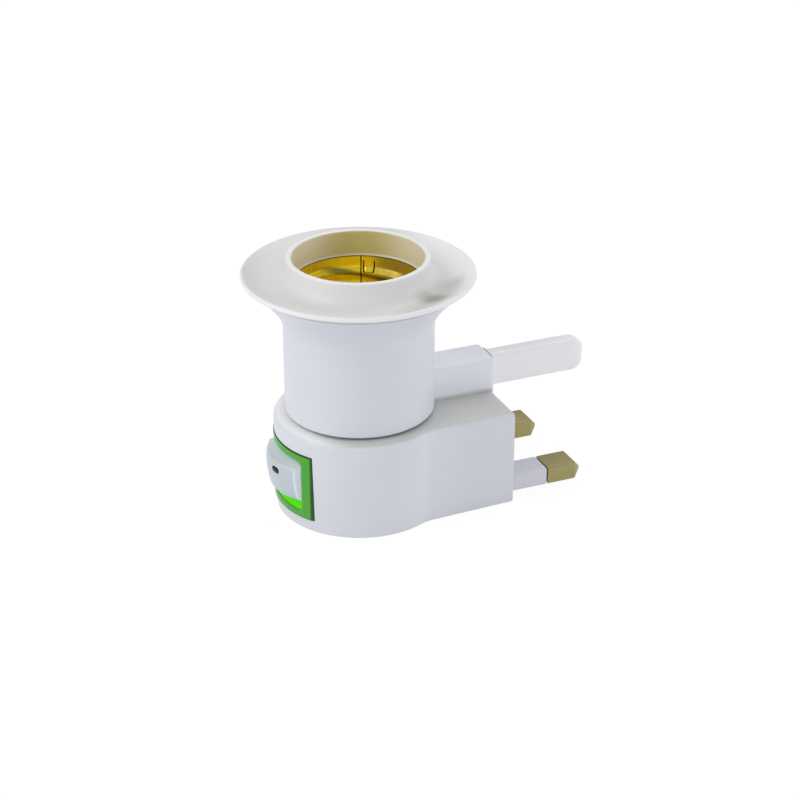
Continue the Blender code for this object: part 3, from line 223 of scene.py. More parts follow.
# %% Roll a flat strip into the shell
SHELL_RADIUS = 0.0135
SHELL_WALL = 0.00035
SHELL_FLOOR_HOLE = 0.0098
THREAD_PITCH = 0.00362
THREAD_DEPTH = 0.00105
THREAD_TOP_Z = 0.0475
LIP_Z = 0.0503
STRIP_COLUMNS = 288
STRIP_ROWS = 92
WALL_ROWS = 82
SEAM_DEGREES = 65.4
SHELL_BEND = 0.0008
BEND_SHARE = 0.4
THREAD_DEGREES = 67.0
THREAD_POWER = 1.3
LIP_FADE = 0.0012
FOOT_PLAIN = 0.0016
FOOT_FADE = 0.0020

shell_foot_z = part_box("screw_shell")[0].z


def thread_radius(turn, height):
    """The shell's outer radius: a plain lip, then a round right-hand thread down to the foot."""
    phase = math.tau * (height - THREAD_TOP_Z) / THREAD_PITCH - (turn - math.radians(THREAD_DEGREES))
    wave = 0.5 + 0.5 * math.sin(phase)
    top_fade = min(max((LIP_Z - height) / LIP_FADE, 0.0), 1.0)
    foot_fade = min(max((height - shell_foot_z - FOOT_PLAIN) / FOOT_FADE, 0.0), 1.0)
    fade = top_fade * top_fade * (3 - 2 * top_fade) * foot_fade
    return SHELL_RADIUS - THREAD_DEPTH * wave ** THREAD_POWER * fade


let_go()
bpy.ops.mesh.primitive_grid_add(x_subdivisions=STRIP_COLUMNS, y_subdivisions=STRIP_ROWS, size=2.0)
shell = named("screw_shell_rolled")
for point in shell.data.vertices:
    turn = math.radians(SEAM_DEGREES) + math.pi * (1.0 + point.co.x)
    row = (1.0 - point.co.y) / 2.0 * STRIP_ROWS
    if row <= WALL_ROWS:
        height = shell_top_z + (shell_foot_z + SHELL_BEND - shell_top_z) * row / WALL_ROWS
        radius = thread_radius(turn, height)
    else:
        share = (row - WALL_ROWS) / (STRIP_ROWS - WALL_ROWS)
        bend = min(share / BEND_SHARE, 1.0) * math.pi / 2
        height = shell_foot_z + SHELL_BEND * (1 - math.sin(bend))
        radius = SHELL_RADIUS - SHELL_BEND * (1 - math.cos(bend))
        radius -= max(share - BEND_SHARE, 0.0) / (1 - BEND_SHARE) * (SHELL_RADIUS - SHELL_BEND - SHELL_FLOOR_HOLE)
    point.co = (radius * math.cos(turn), radius * math.sin(turn), height)
print("points in the strip:", len(shell.data.vertices))

# %% [markdown]
# The seam and the slit round the tab are narrow gaps. They are cut by deleting single rows of faces, which
# keeps the rest of the rolled sheet as it is. The tab then leans in a little, as a pressed tab does.

# %% Cut the seam and the tab
TAB_FIRST = 53.4
TAB_LAST = 63.4
TAB_FOOT_Z = 0.0486
TAB_HEAD_Z = 0.0512
TAB_LEAN = 0.0004
TAB_MARGIN = 0.6
NEAR_WALL = 0.002
SEAM_FOOT = 0.001
COLUMN_TURN = 360.0 / STRIP_COLUMNS
ROW_HEIGHT = (shell_top_z - shell_foot_z - SHELL_BEND) / WALL_ROWS


def angle_of(place):
    return math.degrees(math.atan2(place.y, place.x))


take(shell)
mode("EDIT")
bpy.ops.mesh.select_mode(type="FACE")
bpy.ops.mesh.select_all(action="DESELECT")
mode("OBJECT")
gone = 0
for face in shell.data.polygons:
    angle, height = angle_of(face.center), face.center.z
    inside = abs(face.center.xy.length - SHELL_RADIUS) < NEAR_WALL
    seam = 0.0 < angle - SEAM_DEGREES < COLUMN_TURN
    level = TAB_FOOT_Z < height < TAB_HEAD_Z
    side = min(abs(angle - TAB_FIRST), abs(angle - TAB_LAST)) < COLUMN_TURN / 2
    foot = abs(height - TAB_FOOT_Z) < ROW_HEIGHT / 2
    across = TAB_FIRST - COLUMN_TURN / 2 < angle < TAB_LAST + COLUMN_TURN / 2
    face.select = inside and (seam and height > shell_foot_z + SEAM_FOOT or level and side or foot and across)
    gone += face.select
for point in shell.data.vertices:
    angle = angle_of(point.co)
    across = TAB_FIRST + TAB_MARGIN < angle < TAB_LAST - TAB_MARGIN
    if across and TAB_FOOT_Z < point.co.z < TAB_HEAD_Z:
        lean = TAB_LEAN * (TAB_HEAD_Z - point.co.z) / (TAB_HEAD_Z - TAB_FOOT_Z)
        point.co.xy *= 1.0 - lean / point.co.xy.length
mode("EDIT")
bpy.ops.mesh.delete(type="FACE")
bpy.ops.mesh.select_mode(type="VERT")
close_up(5 * TOUCHING)
print("faces cut out of the sheet:", gone)

# %% Give the sheet its wall
SAMPLE = 2000
wall = shell.modifiers.new("Sheet", "SOLIDIFY")
wall.thickness = SHELL_WALL
outward = sum(face.normal.xy.dot(face.center.xy) > 0 for face in shell.data.polygons[:SAMPLE])
wall.offset = -1.0 if outward > SAMPLE / 2 else 1.0
bpy.ops.object.modifier_apply(modifier="Sheet")
soften(shell, 40.0)
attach(shell, "adapter")
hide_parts("screw_shell")
report(shell)

# %% [markdown]
# ## The base
#
# The base is keyhole-shaped from above: a round front under the barrel that runs, by a soft blend, into a
# straight block with the plug pins. Its wall leans out slightly so that it leaves its mould, and its top
# edge is rounded. A cylinder joined to a box has no such blend, so the outline is drawn as a chain, pulled
# up level by level, and each level's points are slid onto that level's own outline.

# %% The keyhole outline
BASE_HEIGHT = 0.0224
BASE_TOP_RADIUS = 0.0188
BASE_FOOT_RADIUS = 0.0184
BASE_WALL = 0.0020
BASE_EDGE = 0.0016
FOOT_EDGE = 0.00025
ROOF_Z = 0.0202
BLOCK_HALF_WIDTH = 0.0152
BLOCK_REAR_X = 0.0303
BLOCK_CORNER = 0.0004
NECK_BLEND = 0.0080
ROUND_STEPS = 56
NECK_STEPS = 16
CORNER_STEPS = 4
EDGE_STEPS = 8
SIDE_INSET = 0.0020
SIDE_DISTANCE = BASE_FOOT_RADIUS - SIDE_INSET
SIDE_TURN = (math.asin(SIDE_DISTANCE / math.hypot(BLOCK_REAR_X, BLOCK_HALF_WIDTH))
             - math.atan2(BLOCK_HALF_WIDTH, BLOCK_REAR_X))


def keyhole(inset, radius):
    """The outline of the base, drawn in by an inset, as points with x and y."""
    along = Vector((math.cos(SIDE_TURN), math.sin(SIDE_TURN)))
    outwards = Vector((math.sin(SIDE_TURN), -math.cos(SIDE_TURN)))
    to_blend = SIDE_DISTANCE + NECK_BLEND
    blend = to_blend * outwards + math.sqrt((radius + NECK_BLEND) ** 2 - to_blend ** 2) * along
    meeting = math.degrees(math.atan2(-blend.y, blend.x))
    corner = max(BLOCK_CORNER - inset, BLOCK_CORNER / 4)
    corner_x = BLOCK_REAR_X - inset - corner
    corner_y = (corner_x * outwards.x - (SIDE_DISTANCE - inset - corner)) / along.x
    side = arc((0.0, 0.0), radius - inset, -180.0, -meeting, ROUND_STEPS)
    side += arc(blend, NECK_BLEND + inset, 180.0 - meeting, 90.0 + math.degrees(SIDE_TURN), NECK_STEPS)[1:]
    side += arc((corner_x, corner_y), corner, math.degrees(SIDE_TURN) - 90.0, 0.0, CORNER_STEPS)
    return side + [(x, -y) for x, y in reversed(side[1:])]


def wall_radius(height):
    return BASE_FOOT_RADIUS + (BASE_TOP_RADIUS - BASE_FOOT_RADIUS) * height / BASE_HEIGHT


def draw_loop(name, points):
    piece = draw_chain(name, points + points[:1])
    merge()
    return piece


def cap_ends():
    """Fill the outline that was pulled last, then the first one."""
    bpy.ops.mesh.edge_face_add()
    bpy.ops.mesh.select_all(action="DESELECT")
    bpy.ops.mesh.select_non_manifold()
    bpy.ops.mesh.edge_face_add()
    close_up()


def stacked(name, levels):
    """A closed solid through outlines with equally many points, each given as (outline, height)."""
    first, height = levels[0]
    piece = draw_loop(name, [(x, y, height) for x, y in first])
    mode("OBJECT")
    for outline, level in levels[1:]:
        count = len(piece.data.vertices)
        take(piece)
        mode("EDIT")
        pull((0.0, 0.0, level - height))
        mode("OBJECT")
        places = {(round(x, 7), round(y, 7)): to for (x, y), to in zip(first, outline)}
        for point in piece.data.vertices[count:]:
            x, y = min(places, key=lambda place: (place[0] - point.co.x) ** 2 + (place[1] - point.co.y) ** 2)
            point.co.x, point.co.y = places[(x, y)]
        first, height = outline, level
    mode("EDIT")
    cap_ends()
    return piece


levels = [(keyhole(FOOT_EDGE, BASE_FOOT_RADIUS), 0.0), (keyhole(0.0, BASE_FOOT_RADIUS), FOOT_EDGE)]
for x, y in arc((0.0, 0.0), BASE_EDGE, 0.0, 90.0, EDGE_STEPS):
    height = BASE_HEIGHT - BASE_EDGE + y
    levels.append((keyhole(BASE_EDGE - x, wall_radius(height)), height))
base = stacked("base", levels)
report(base)

# %% [markdown]
# ## The boss and the openings of the base
#
# A raised boss at the back carries the earth pin. It is a box with rounded edges, joined to the base with a
# boolean. The rest is taken away in the same way: the seat under the barrel, the hollow inside, the window
# of the switch and the slots of the pins. Each tool is modelled, used once and deleted, as a milling cutter
# would be.

# %% Boxes, rods and booleans


def block(name, low, high, edge=0.0, segments=6):
    """A box between two corners, its edges rounded where asked."""
    low, high = Vector(low), Vector(high)
    let_go()
    bpy.ops.mesh.primitive_cube_add(size=1.0, location=(low + high) / 2, scale=high - low)
    piece = named(name)
    bpy.ops.object.transform_apply()
    if edge:
        mode("EDIT")
        bpy.ops.mesh.select_all(action="SELECT")
        bpy.ops.mesh.bevel(offset=edge, segments=segments, affect="EDGES")
        mode("OBJECT")
    return piece


def rod(name, radius, start, end, sides):
    """A cylinder from one point to another."""
    start, end = Vector(start), Vector(end)
    let_go()
    turn = (end - start).to_track_quat("Z", "Y").to_euler()
    bpy.ops.mesh.primitive_cylinder_add(vertices=sides, radius=radius, depth=(end - start).length,
                                        location=(start + end) / 2, rotation=turn)
    piece = named(name)
    bpy.ops.object.transform_apply()
    return piece


def combine(piece, operation, *tools):
    """Use each tool on the piece once, and throw the tool away."""
    for tool in tools:
        take(piece)
        step = piece.modifiers.new("Tool", "BOOLEAN")
        step.operation = operation
        step.object = tool
        step.solver = "EXACT"
        bpy.ops.object.modifier_apply(modifier="Tool")
        bpy.data.objects.remove(tool)


def cut(piece, *tools):
    combine(piece, "DIFFERENCE", *tools)


def join(piece, *tools):
    combine(piece, "UNION", *tools)


def bevel_sharp(piece, width, segments, degrees):
    """Round the edges at which a piece turns by more than an angle."""
    edges = piece.modifiers.new("Edges", "BEVEL")
    edges.width = width
    edges.segments = segments
    edges.limit_method = "ANGLE"
    edges.angle_limit = math.radians(degrees)
    take(piece)
    bpy.ops.object.modifier_apply(modifier="Edges")


# %% Join the boss and cut the base
SEAT_GAP = 0.0001
BOSS_HALF_WIDTH = 0.0042
BOSS_TOP_Z = 0.0304
PIN_Z = 0.0040
PIN_HALF_SPACING = 0.0111
SWITCH_Z = 0.0104
BEZEL_RADIUS = 0.0190
BEZEL_HALF_WIDTH = 0.0107
BEZEL_HALF_HEIGHT = 0.0075
WELL_HALF_WIDTH = 0.0094
WELL_HALF_HEIGHT = 0.0068
WELL_BACK_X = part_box("switch_bezel")[1].x
BELOW_Z = -0.002
ABOVE_Z = 0.0244
OUTSIDE_X = -0.0215
BOSS_EDGE = 0.0009
REBATE_WALL = 0.0009
REBATE_Z = 0.0016
SLOT_START_X = 0.0263
SLOT_END_X = 0.0323
SLOT_HALF_WIDTH = 0.003475
SCREW_RING = 0.0143
BEZEL_CLEARANCE = 0.00022

join(base, block("boss", (0.0142, -BOSS_HALF_WIDTH, ROOF_Z + 0.00055),
                 (BLOCK_REAR_X, BOSS_HALF_WIDTH, BOSS_TOP_Z), BOSS_EDGE))
cavity, rebate = keyhole(BASE_WALL, BASE_FOOT_RADIUS), keyhole(REBATE_WALL, BASE_FOOT_RADIUS)
cut(base,
    rod("barrel_seat", BARREL_RADIUS + SEAT_GAP, (0, 0, BASE_HEIGHT), (0, 0, 0.0330), ROUND_SIDES),
    stacked("cavity", [(cavity, BELOW_Z), (cavity, ROOF_Z)]),
    stacked("rebate", [(rebate, BELOW_Z), (rebate, REBATE_Z)]),
    rod("wire_hole", 0.0090, (0, 0, 0.0180), (0, 0, 0.0246), 64),
    block("boss_hollow", (0.0182, -0.0027, 0.0180), (0.0283, 0.0027, 0.0289)),
    block("tenon_slot", (SLOT_START_X, -0.0015, 0.0236), (SLOT_END_X, 0.0015, 0.0288)))
report(base)

# %% Slots for the pins, and the window for the switch
for side in (-1, 1):
    y = side * PIN_HALF_SPACING
    low_y, high_y = y - SLOT_HALF_WIDTH, y + SLOT_HALF_WIDTH
    cut(base,
        block("pin_slot", (SLOT_START_X, low_y, PIN_Z - 0.0023), (SLOT_END_X, high_y, PIN_Z + 0.0023)),
        block("collar_pocket", (SLOT_START_X, low_y, PIN_Z - 0.0027), (0.0283, high_y, PIN_Z + 0.0027)),
        rod("barrel_screw_hole", 0.0012, (0, side * SCREW_RING, 0.0180), (0, side * SCREW_RING, 0.0240), 24))
seat_y, seat_z = BEZEL_HALF_WIDTH + BEZEL_CLEARANCE, BEZEL_HALF_HEIGHT + BEZEL_CLEARANCE
seat = block("bezel_seat", (OUTSIDE_X, -seat_y, SWITCH_Z - seat_z), (0.0, seat_y, SWITCH_Z + seat_z))
cut(seat, rod("seat_core", 0.0175, (0, 0, BELOW_Z), (0, 0, ABOVE_Z), 128))
cut(base, seat,
    block("well_window", (OUTSIDE_X, -WELL_HALF_WIDTH - GAP, SWITCH_Z - WELL_HALF_HEIGHT - GAP),
          (WELL_BACK_X, WELL_HALF_WIDTH + GAP, SWITCH_Z + WELL_HALF_HEIGHT + GAP)))
soften(base, 28.0)
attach(base, "adapter")
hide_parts("base_housing")
report(base)

# %% [markdown]
# ## The switch's green body
#
# The frame of the switch follows the round wall, and a well behind it holds the rocker. Its window has
# rounded corners. It could be bent from a flat plate, but bend needs a window on the screen. A box is cut
# to the curve by two rods instead: one gives the back, the other gives the front.

# %% Frame, well and window
WINDOW_HALF_WIDTH = 0.0085
WINDOW_HALF_HEIGHT = 0.0059
WINDOW_CORNER = 0.0012
FRAME_THICKNESS = 0.0012
FRAME_INSET = 0.00012
TERMINAL_SPACING = 0.0032
PIVOT_X = -0.0139

bezel = block("bezel", (OUTSIDE_X, -BEZEL_HALF_WIDTH, SWITCH_Z - BEZEL_HALF_HEIGHT),
              (-0.0095, BEZEL_HALF_WIDTH, SWITCH_Z + BEZEL_HALF_HEIGHT))
cut(bezel, rod("frame_back", BEZEL_RADIUS - FRAME_THICKNESS, (0, 0, BELOW_Z), (0, 0, ABOVE_Z), 128))
join(bezel, block("well", (OUTSIDE_X, -WELL_HALF_WIDTH, SWITCH_Z - WELL_HALF_HEIGHT),
                  (WELL_BACK_X, WELL_HALF_WIDTH, SWITCH_Z + WELL_HALF_HEIGHT)))
combine(bezel, "INTERSECT",
        rod("frame_front", BEZEL_RADIUS - FRAME_INSET, (0, 0, BELOW_Z), (0, 0, ABOVE_Z), 192))
cut(bezel,
    block("window", (-0.0225, -WINDOW_HALF_WIDTH, SWITCH_Z - WINDOW_HALF_HEIGHT),
          (WELL_BACK_X - 0.0009, WINDOW_HALF_WIDTH, SWITCH_Z + WINDOW_HALF_HEIGHT), WINDOW_CORNER),
    rod("trunnion_holes", 0.0015, (PIVOT_X, -WELL_HALF_WIDTH - 0.0001, SWITCH_Z),
        (PIVOT_X, WELL_HALF_WIDTH + 0.0001, SWITCH_Z), 32))
for z in (SWITCH_Z, SWITCH_Z + TERMINAL_SPACING):
    cut(bezel, block("terminal_slot", (WELL_BACK_X - 0.0018, -0.0019, z - 0.0007),
                     (WELL_BACK_X + 0.0009, 0.0019, z + 0.0007)))
bevel_sharp(bezel, 0.00018, 2, 50.0)
soften(bezel, 35.0)
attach(bezel, "adapter")
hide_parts("switch_bezel")
report(bezel)

# %% [markdown]
# ## The rocker
#
# The rocker is a crowned cap that turns on two pegs, and its lower half is pressed in. Its outline, seen
# from the front, is drawn with rounded corners, pulled along X and cut into a grid. The points of its face
# are then set back: hardly at all amid, more towards the sides, and most where it rolls off above and
# below. Its sharp edges are rounded last. It is hollow behind, with a tube for the sprung plunger.

# %% Crown the rocker
ROCKER_FACE_X = -0.0209
CROWN_RADIUS = 0.0115
SWEEP_RADIUS = 0.0240
ROLL_ABOVE = 0.0036
ROLL_BELOW = 0.0020
ROLL_RADIUS = 0.0014
ROCKER_TILT = math.radians(8.0)
ROCKER_HALF_WIDTH = 0.0082
ROCKER_BACK = 0.0009
ROCKER_CORNER = 0.0011
ROCKER_WALL = 0.0011
BACK_SPREAD = 0.0005
GRID_LINES = 5
GRID_Y = 0.00145
GRID_Z = 0.00080
reach = PIVOT_X - ROCKER_FACE_X
rocker_half_height = (WINDOW_HALF_HEIGHT - GAP - reach * math.sin(ROCKER_TILT)) / math.cos(ROCKER_TILT)


def face_depth(y, z):
    """How far the rocker's face lies behind its crown. It rolls off above and, sooner, below."""
    rolled = max(z - ROLL_ABOVE, -z - ROLL_BELOW, 0.0)
    return y * y / (2 * CROWN_RADIUS) + z * z / (2 * SWEEP_RADIUS) + rolled * rolled / (2 * ROLL_RADIUS)


def rounded(length, width, corner):
    """A rectangle with rounded corners, as points."""
    made = []
    for sign_x, sign_y, first in ((1, 1, 0.0), (-1, 1, 90.0), (-1, -1, 180.0), (1, -1, 270.0)):
        centre = (sign_x * (length / 2 - corner), sign_y * (width / 2 - corner))
        made += arc(centre, corner, first, first + 90.0, 6)
    return made


front = rounded(2 * ROCKER_HALF_WIDTH, 2 * rocker_half_height, ROCKER_CORNER)
rocker = draw_loop("rocker", [(-reach, y, z) for y, z in front])
pull((reach + ROCKER_BACK, 0.0, 0.0))
cap_ends()
for i in range(-GRID_LINES, GRID_LINES + 1):
    for normal, place in (((0, 1, 0), (0, i * GRID_Y, 0)), ((0, 0, 1), (0, 0, i * GRID_Z))):
        take(rocker)
        mode("EDIT")
        bpy.ops.mesh.select_all(action="SELECT")
        bpy.ops.mesh.bisect(plane_co=place, plane_no=normal)
mode("OBJECT")
for point in rocker.data.vertices:
    y, z = point.co.y, point.co.z
    if point.co.x < -reach / 2:
        point.co.x += face_depth(y, z)
    else:
        point.co.z += math.copysign(BACK_SPREAD, z) * min(abs(z) / rocker_half_height, 1.0)
bevel_sharp(rocker, 0.0004, 5, 35.0)
report(rocker)

# %% Hollow it, and give it its pegs and its tube
MARK_LENGTH = 0.0024
MARK_HEIGHT = 0.0013
MARK_SHIFT = 0.0028
MARK_RISE = 0.0030

inner_y, inner_z = ROCKER_HALF_WIDTH - ROCKER_WALL, rocker_half_height - ROCKER_WALL
hollow_front = face_depth(inner_y, -inner_z) + ROCKER_WALL - reach
cut(rocker, block("hollow", (hollow_front, -inner_y, -inner_z), (reach, inner_y, inner_z)))
join(rocker, rod("tube", 0.0021, (ROCKER_WALL - reach, 0, 0), (ROCKER_BACK, 0, 0), 40))
cut(rocker, rod("tube_bore", 0.0014, (0.0018 - reach, 0, 0), (reach, 0, 0), 40))
for side in (-1, 1):
    join(rocker, rod("peg", 0.0012, (0, side * inner_y, 0), (0, side * (WELL_HALF_WIDTH - GAP), 0), 32))
mark_spot = Vector((face_depth(MARK_SHIFT, MARK_RISE) - reach, -MARK_SHIFT, MARK_RISE))
mark_normal = Vector((-1.0, -MARK_SHIFT / CROWN_RADIUS, MARK_RISE / SWEEP_RADIUS)).normalized()


def stadium(margin):
    radius = MARK_HEIGHT / 2 + margin
    end = (MARK_LENGTH - MARK_HEIGHT) / 2
    return arc((0.0, end), radius, 0.0, 180.0, 16) + arc((0.0, -end), radius, 180.0, 360.0, 16)


def stand_on_face(piece):
    """Lay a flat piece that was drawn in the XY plane on the rocker's face, where the mark goes."""
    turn = mark_normal.to_track_quat("Z", "X").to_matrix().to_4x4()
    piece.data.transform(Matrix.Translation(mark_spot) @ turn)
    return piece


cut(rocker, stand_on_face(stacked("recess", [(stadium(0.00008), -0.0009), (stadium(0.00012), 0.0009)])))
report(rocker)

# %% The dark lens of the mark
lens = stand_on_face(stacked("lens", [(stadium(0.0), -0.0006), (stadium(0.0), -0.0001),
                                      (stadium(-0.00012), 0.00006), (stadium(-0.0004), 0.00014)]))
tilt = Matrix.Translation((PIVOT_X, 0.0, SWITCH_Z)) @ Matrix.Rotation(-ROCKER_TILT, 4, "Y")
for piece, node, finish in ((rocker, "switch_rocker", "rocker_plastic"), (lens, "rocker_mark", "mark_lens")):
    piece.data.transform(tilt)
    soften(piece, 40.0)
    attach(piece, "rocker")
    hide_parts(node)
    report(piece)

# %% [markdown]
# ## The plug pins, their sleeves and the earth pin
#
# The two brass pins are flat bars with bevelled tips, whose ends lie a little low. White sleeves cover
# their roots. The earth pin is a plastic blade with a soft root and a rounded tip. All are drawn as rounded
# rectangles, stacked as the base is, and turned to point along X.

# %% Bars along X, and the brass pins
PIN_LENGTH = 0.0177
PIN_WIDTH = 0.00635
PIN_THICKNESS = 0.0040
SLEEVE_LENGTH = 0.0086
SLEEVE_WALL = 0.0006
PIN_EDGE = 0.00035
TIP_DROP = 0.0006
ROOT_STEP = 0.0003
CORE_SLIM = 0.0018
HEAD_LENGTH = 0.0062
HEAD_HALF_WIDTH = 0.0022
HEAD_SHIFT = 0.0005
BORE_Z = 0.0042
SCREW_BACK = 0.0031
HEAD_FRONT_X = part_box("live_pin_sleeve")[0].x - GAP


def bar(name, levels, place):
    """Stack levels along Z, then turn the piece so that it points along X from a place."""
    piece = stacked(name, levels)
    piece.data.transform(Matrix.Translation(place) @ Matrix.Rotation(math.pi / 2, 4, "Y"))
    return piece


brass_pins = []
for node, side in (("live_pin", -1), ("neutral_pin", 1)):
    y = side * PIN_HALF_SPACING
    full = rounded(PIN_THICKNESS, PIN_WIDTH, PIN_EDGE)
    levels = [(rounded(PIN_THICKNESS - ROOT_STEP, PIN_WIDTH - ROOT_STEP, PIN_EDGE), SLEEVE_LENGTH + GAP),
              (full, SLEEVE_LENGTH + GAP + 0.00015), (full, PIN_LENGTH - 0.0023),
              (rounded(PIN_THICKNESS - 0.00012, PIN_WIDTH - 0.0002, PIN_EDGE), PIN_LENGTH - 0.0020),
              (rounded(0.0010, 0.0021, 0.0003), PIN_LENGTH - 0.00012),
              (rounded(0.0007, 0.0018, 0.0002), PIN_LENGTH)]
    for outline, _ in levels[-2:]:
        outline[:] = [(across + TIP_DROP, along) for across, along in outline]
    pin = bar(node + "_bar", levels, (BLOCK_REAR_X, y, PIN_Z))
    slim = rounded(PIN_THICKNESS - CORE_SLIM, PIN_WIDTH - CORE_SLIM, PIN_EDGE)
    core = bar("core", [(slim, 0.0), (slim, BLOCK_REAR_X + SLEEVE_LENGTH + 0.0008 - HEAD_FRONT_X)],
               (HEAD_FRONT_X - 0.0004, y, PIN_Z))
    head_y = y - side * HEAD_SHIFT
    head = block("head", (HEAD_FRONT_X - HEAD_LENGTH, head_y - HEAD_HALF_WIDTH, 0.0020),
                 (HEAD_FRONT_X, head_y + HEAD_HALF_WIDTH, 0.0072), 0.0004, 3)
    join(pin, core, head)
    cut(pin,
        rod("wire_bore", 0.0010, (HEAD_FRONT_X - 0.0066, head_y, BORE_Z),
            (HEAD_FRONT_X - 0.0015, head_y, BORE_Z), 24),
        rod("screw_bore", 0.0013, (HEAD_FRONT_X - SCREW_BACK, head_y, BORE_Z),
            (HEAD_FRONT_X - SCREW_BACK, head_y, 0.0100), 24))
    soften(pin)
    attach(pin, "adapter")
    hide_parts(node)
    report(pin)
    brass_pins.append(pin)

# %% The white sleeves
SLEEVE_EDGE = 0.0004
sleeves = []
for node, side in (("live_pin_sleeve", -1), ("neutral_pin_sleeve", 1)):
    y = side * PIN_HALF_SPACING
    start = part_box(node)[0].x
    length = BLOCK_REAR_X + SLEEVE_LENGTH - start
    full = rounded(PIN_THICKNESS, PIN_WIDTH, SLEEVE_EDGE)
    wide = rounded(PIN_THICKNESS + 0.0008, PIN_WIDTH, SLEEVE_EDGE)
    tip = rounded(PIN_THICKNESS - ROOT_STEP, PIN_WIDTH - ROOT_STEP, PIN_EDGE)
    sleeve = bar(node + "_moulded", [(wide, 0.0), (wide, 0.0006), (full, 0.00061),
                                     (full, length - 0.00015), (tip, length)], (start, y, PIN_Z))
    bore = rounded(PIN_THICKNESS - 2 * SLEEVE_WALL, PIN_WIDTH - 2 * SLEEVE_WALL, SLEEVE_EDGE)
    cut(sleeve, bar("bore", [(bore, -0.001), (bore, length + 0.001)], (start, y, PIN_Z)))
    soften(sleeve)
    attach(sleeve, "adapter")
    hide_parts(node)
    report(sleeve)
    sleeves.append(sleeve)

# %% The earth pin
EARTH_Z = 0.0262
EARTH_LENGTH = 0.0227
EARTH_HEIGHT = 0.0076
EARTH_WIDTH = 0.0040
EARTH_EDGE = 0.0009
EARTH_TIP = 0.0030
TIP_DEGREES = 20.0
levels = []
for x, y in arc((0.0, 0.0), 1.0, 180.0, 90.0, 10):
    levels.append((rounded(EARTH_HEIGHT, EARTH_WIDTH + 0.0020 * (1 - y), EARTH_EDGE), EARTH_EDGE * (1 + x)))
for x, y in arc((0.0, 0.0), 1.0, 90.0, TIP_DEGREES, 12):
    share = (1 - y) / (1 - math.sin(math.radians(TIP_DEGREES)))
    outline = rounded(EARTH_HEIGHT - 0.0030 * share, EARTH_WIDTH - 0.0016 * share, EARTH_EDGE - 0.00035 * share)
    levels.append((outline, EARTH_LENGTH - EARTH_TIP + EARTH_TIP * x / math.cos(math.radians(TIP_DEGREES))))
levels.append((rounded(EARTH_HEIGHT - 0.0036, EARTH_WIDTH - 0.0022, 0.0004), EARTH_LENGTH))
earth_pin = bar("earth_blade", levels, (BLOCK_REAR_X + GAP, 0.0, EARTH_Z))
join(earth_pin,
     block("tenon", (0.0260, -0.0012, EARTH_Z - 0.0023), (0.0312, 0.0012, EARTH_Z + 0.0023)),
     block("barb", (0.0270, -0.0017, EARTH_Z - 0.0020), (0.0280, 0.0017, EARTH_Z + 0.0020)))
soften(earth_pin)
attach(earth_pin, "adapter")
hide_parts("earth_pin")
report(earth_pin)

# %% [markdown]
# ## Small turned and pressed pieces
#
# Screws, rivets, wires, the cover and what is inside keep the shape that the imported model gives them, but
# their facets would show in metal. Each is copied, the copy's loose triangles are merged into one skin, and
# its shading is smoothed across shallow angles only, so that its real edges stay crisp.

# %% Smooth copies of the small pieces
body_of = {node: body for body, nodes in frame["record"]["behaviour"]["bodies"].items() for node in nodes}
slot_of = {row["node"]: row["material_slot"] for row in frame["record"]["subparts"]}
SMALL = ("contact_carrier", "shell_rivet_1", "shell_rivet_2", "centre_rivet", "centre_contact",
         "bottom_cover", "cover_screw_1", "cover_screw_2", "cover_screw_3", "cover_screw_4",
         "barrel_screw_1", "barrel_screw_2", "clamp_screw_1", "clamp_screw_2", "rocker_plunger",
         "plunger_spring", "seesaw_contact", "fulcrum_terminal", "side_terminal",
         "live_wire", "switched_wire", "neutral_wire")
copies = {}
for node in SMALL:
    source = frame["nodes"][node]
    piece = source.copy()
    piece.data = source.data.copy()
    piece.name = node + "_smooth"
    bpy.context.scene.collection.objects.link(piece)
    placed = piece.matrix_world.copy()
    piece.parent = None
    piece.matrix_world = placed
    take(piece)
    bpy.ops.object.transform_apply()
    mode("EDIT")
    merge()
    mode("OBJECT")
    soften(piece, 35.0)
    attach(piece, body_of[node])
    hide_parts(node)
    copies[node] = piece
print("smooth copies:", len(copies))

# %% [markdown]
# ## Shader maths as Python
#
# A finish is a small network of nodes. A wrapper round a socket turns Python's operators into Math nodes,
# so that `0.4 + 0.1 * grain` reads as it is meant. Every other node comes from one method that takes the
# node's type, its settings and its sockets. Colours go through Mix nodes, because a Math node turns a
# colour grey.

# %% A socket with operators, and a finish


class Wire:
    """A shader socket that Python's operators work on."""

    def __init__(self, finish, socket):
        self.finish = finish
        self.socket = socket

    def maths(self, operation, *values):
        return self.finish.add("Math", {"operation": operation}, dict(enumerate(values)))

    def __add__(self, other):
        return self.maths("ADD", self, other)

    def __radd__(self, other):
        return self.maths("ADD", other, self)

    def __sub__(self, other):
        return self.maths("SUBTRACT", self, other)

    def __rsub__(self, other):
        return self.maths("SUBTRACT", other, self)

    def __mul__(self, other):
        return self.maths("MULTIPLY", self, other)

    def __rmul__(self, other):
        return self.maths("MULTIPLY", other, self)

    def __pow__(self, other):
        return self.maths("POWER", self, other)

    def __abs__(self):
        return self.maths("ABSOLUTE", self)

    def at_most(self, limit):
        return self.maths("MINIMUM", self, limit)

    def at_least(self, limit):
        return self.maths("MAXIMUM", self, limit)


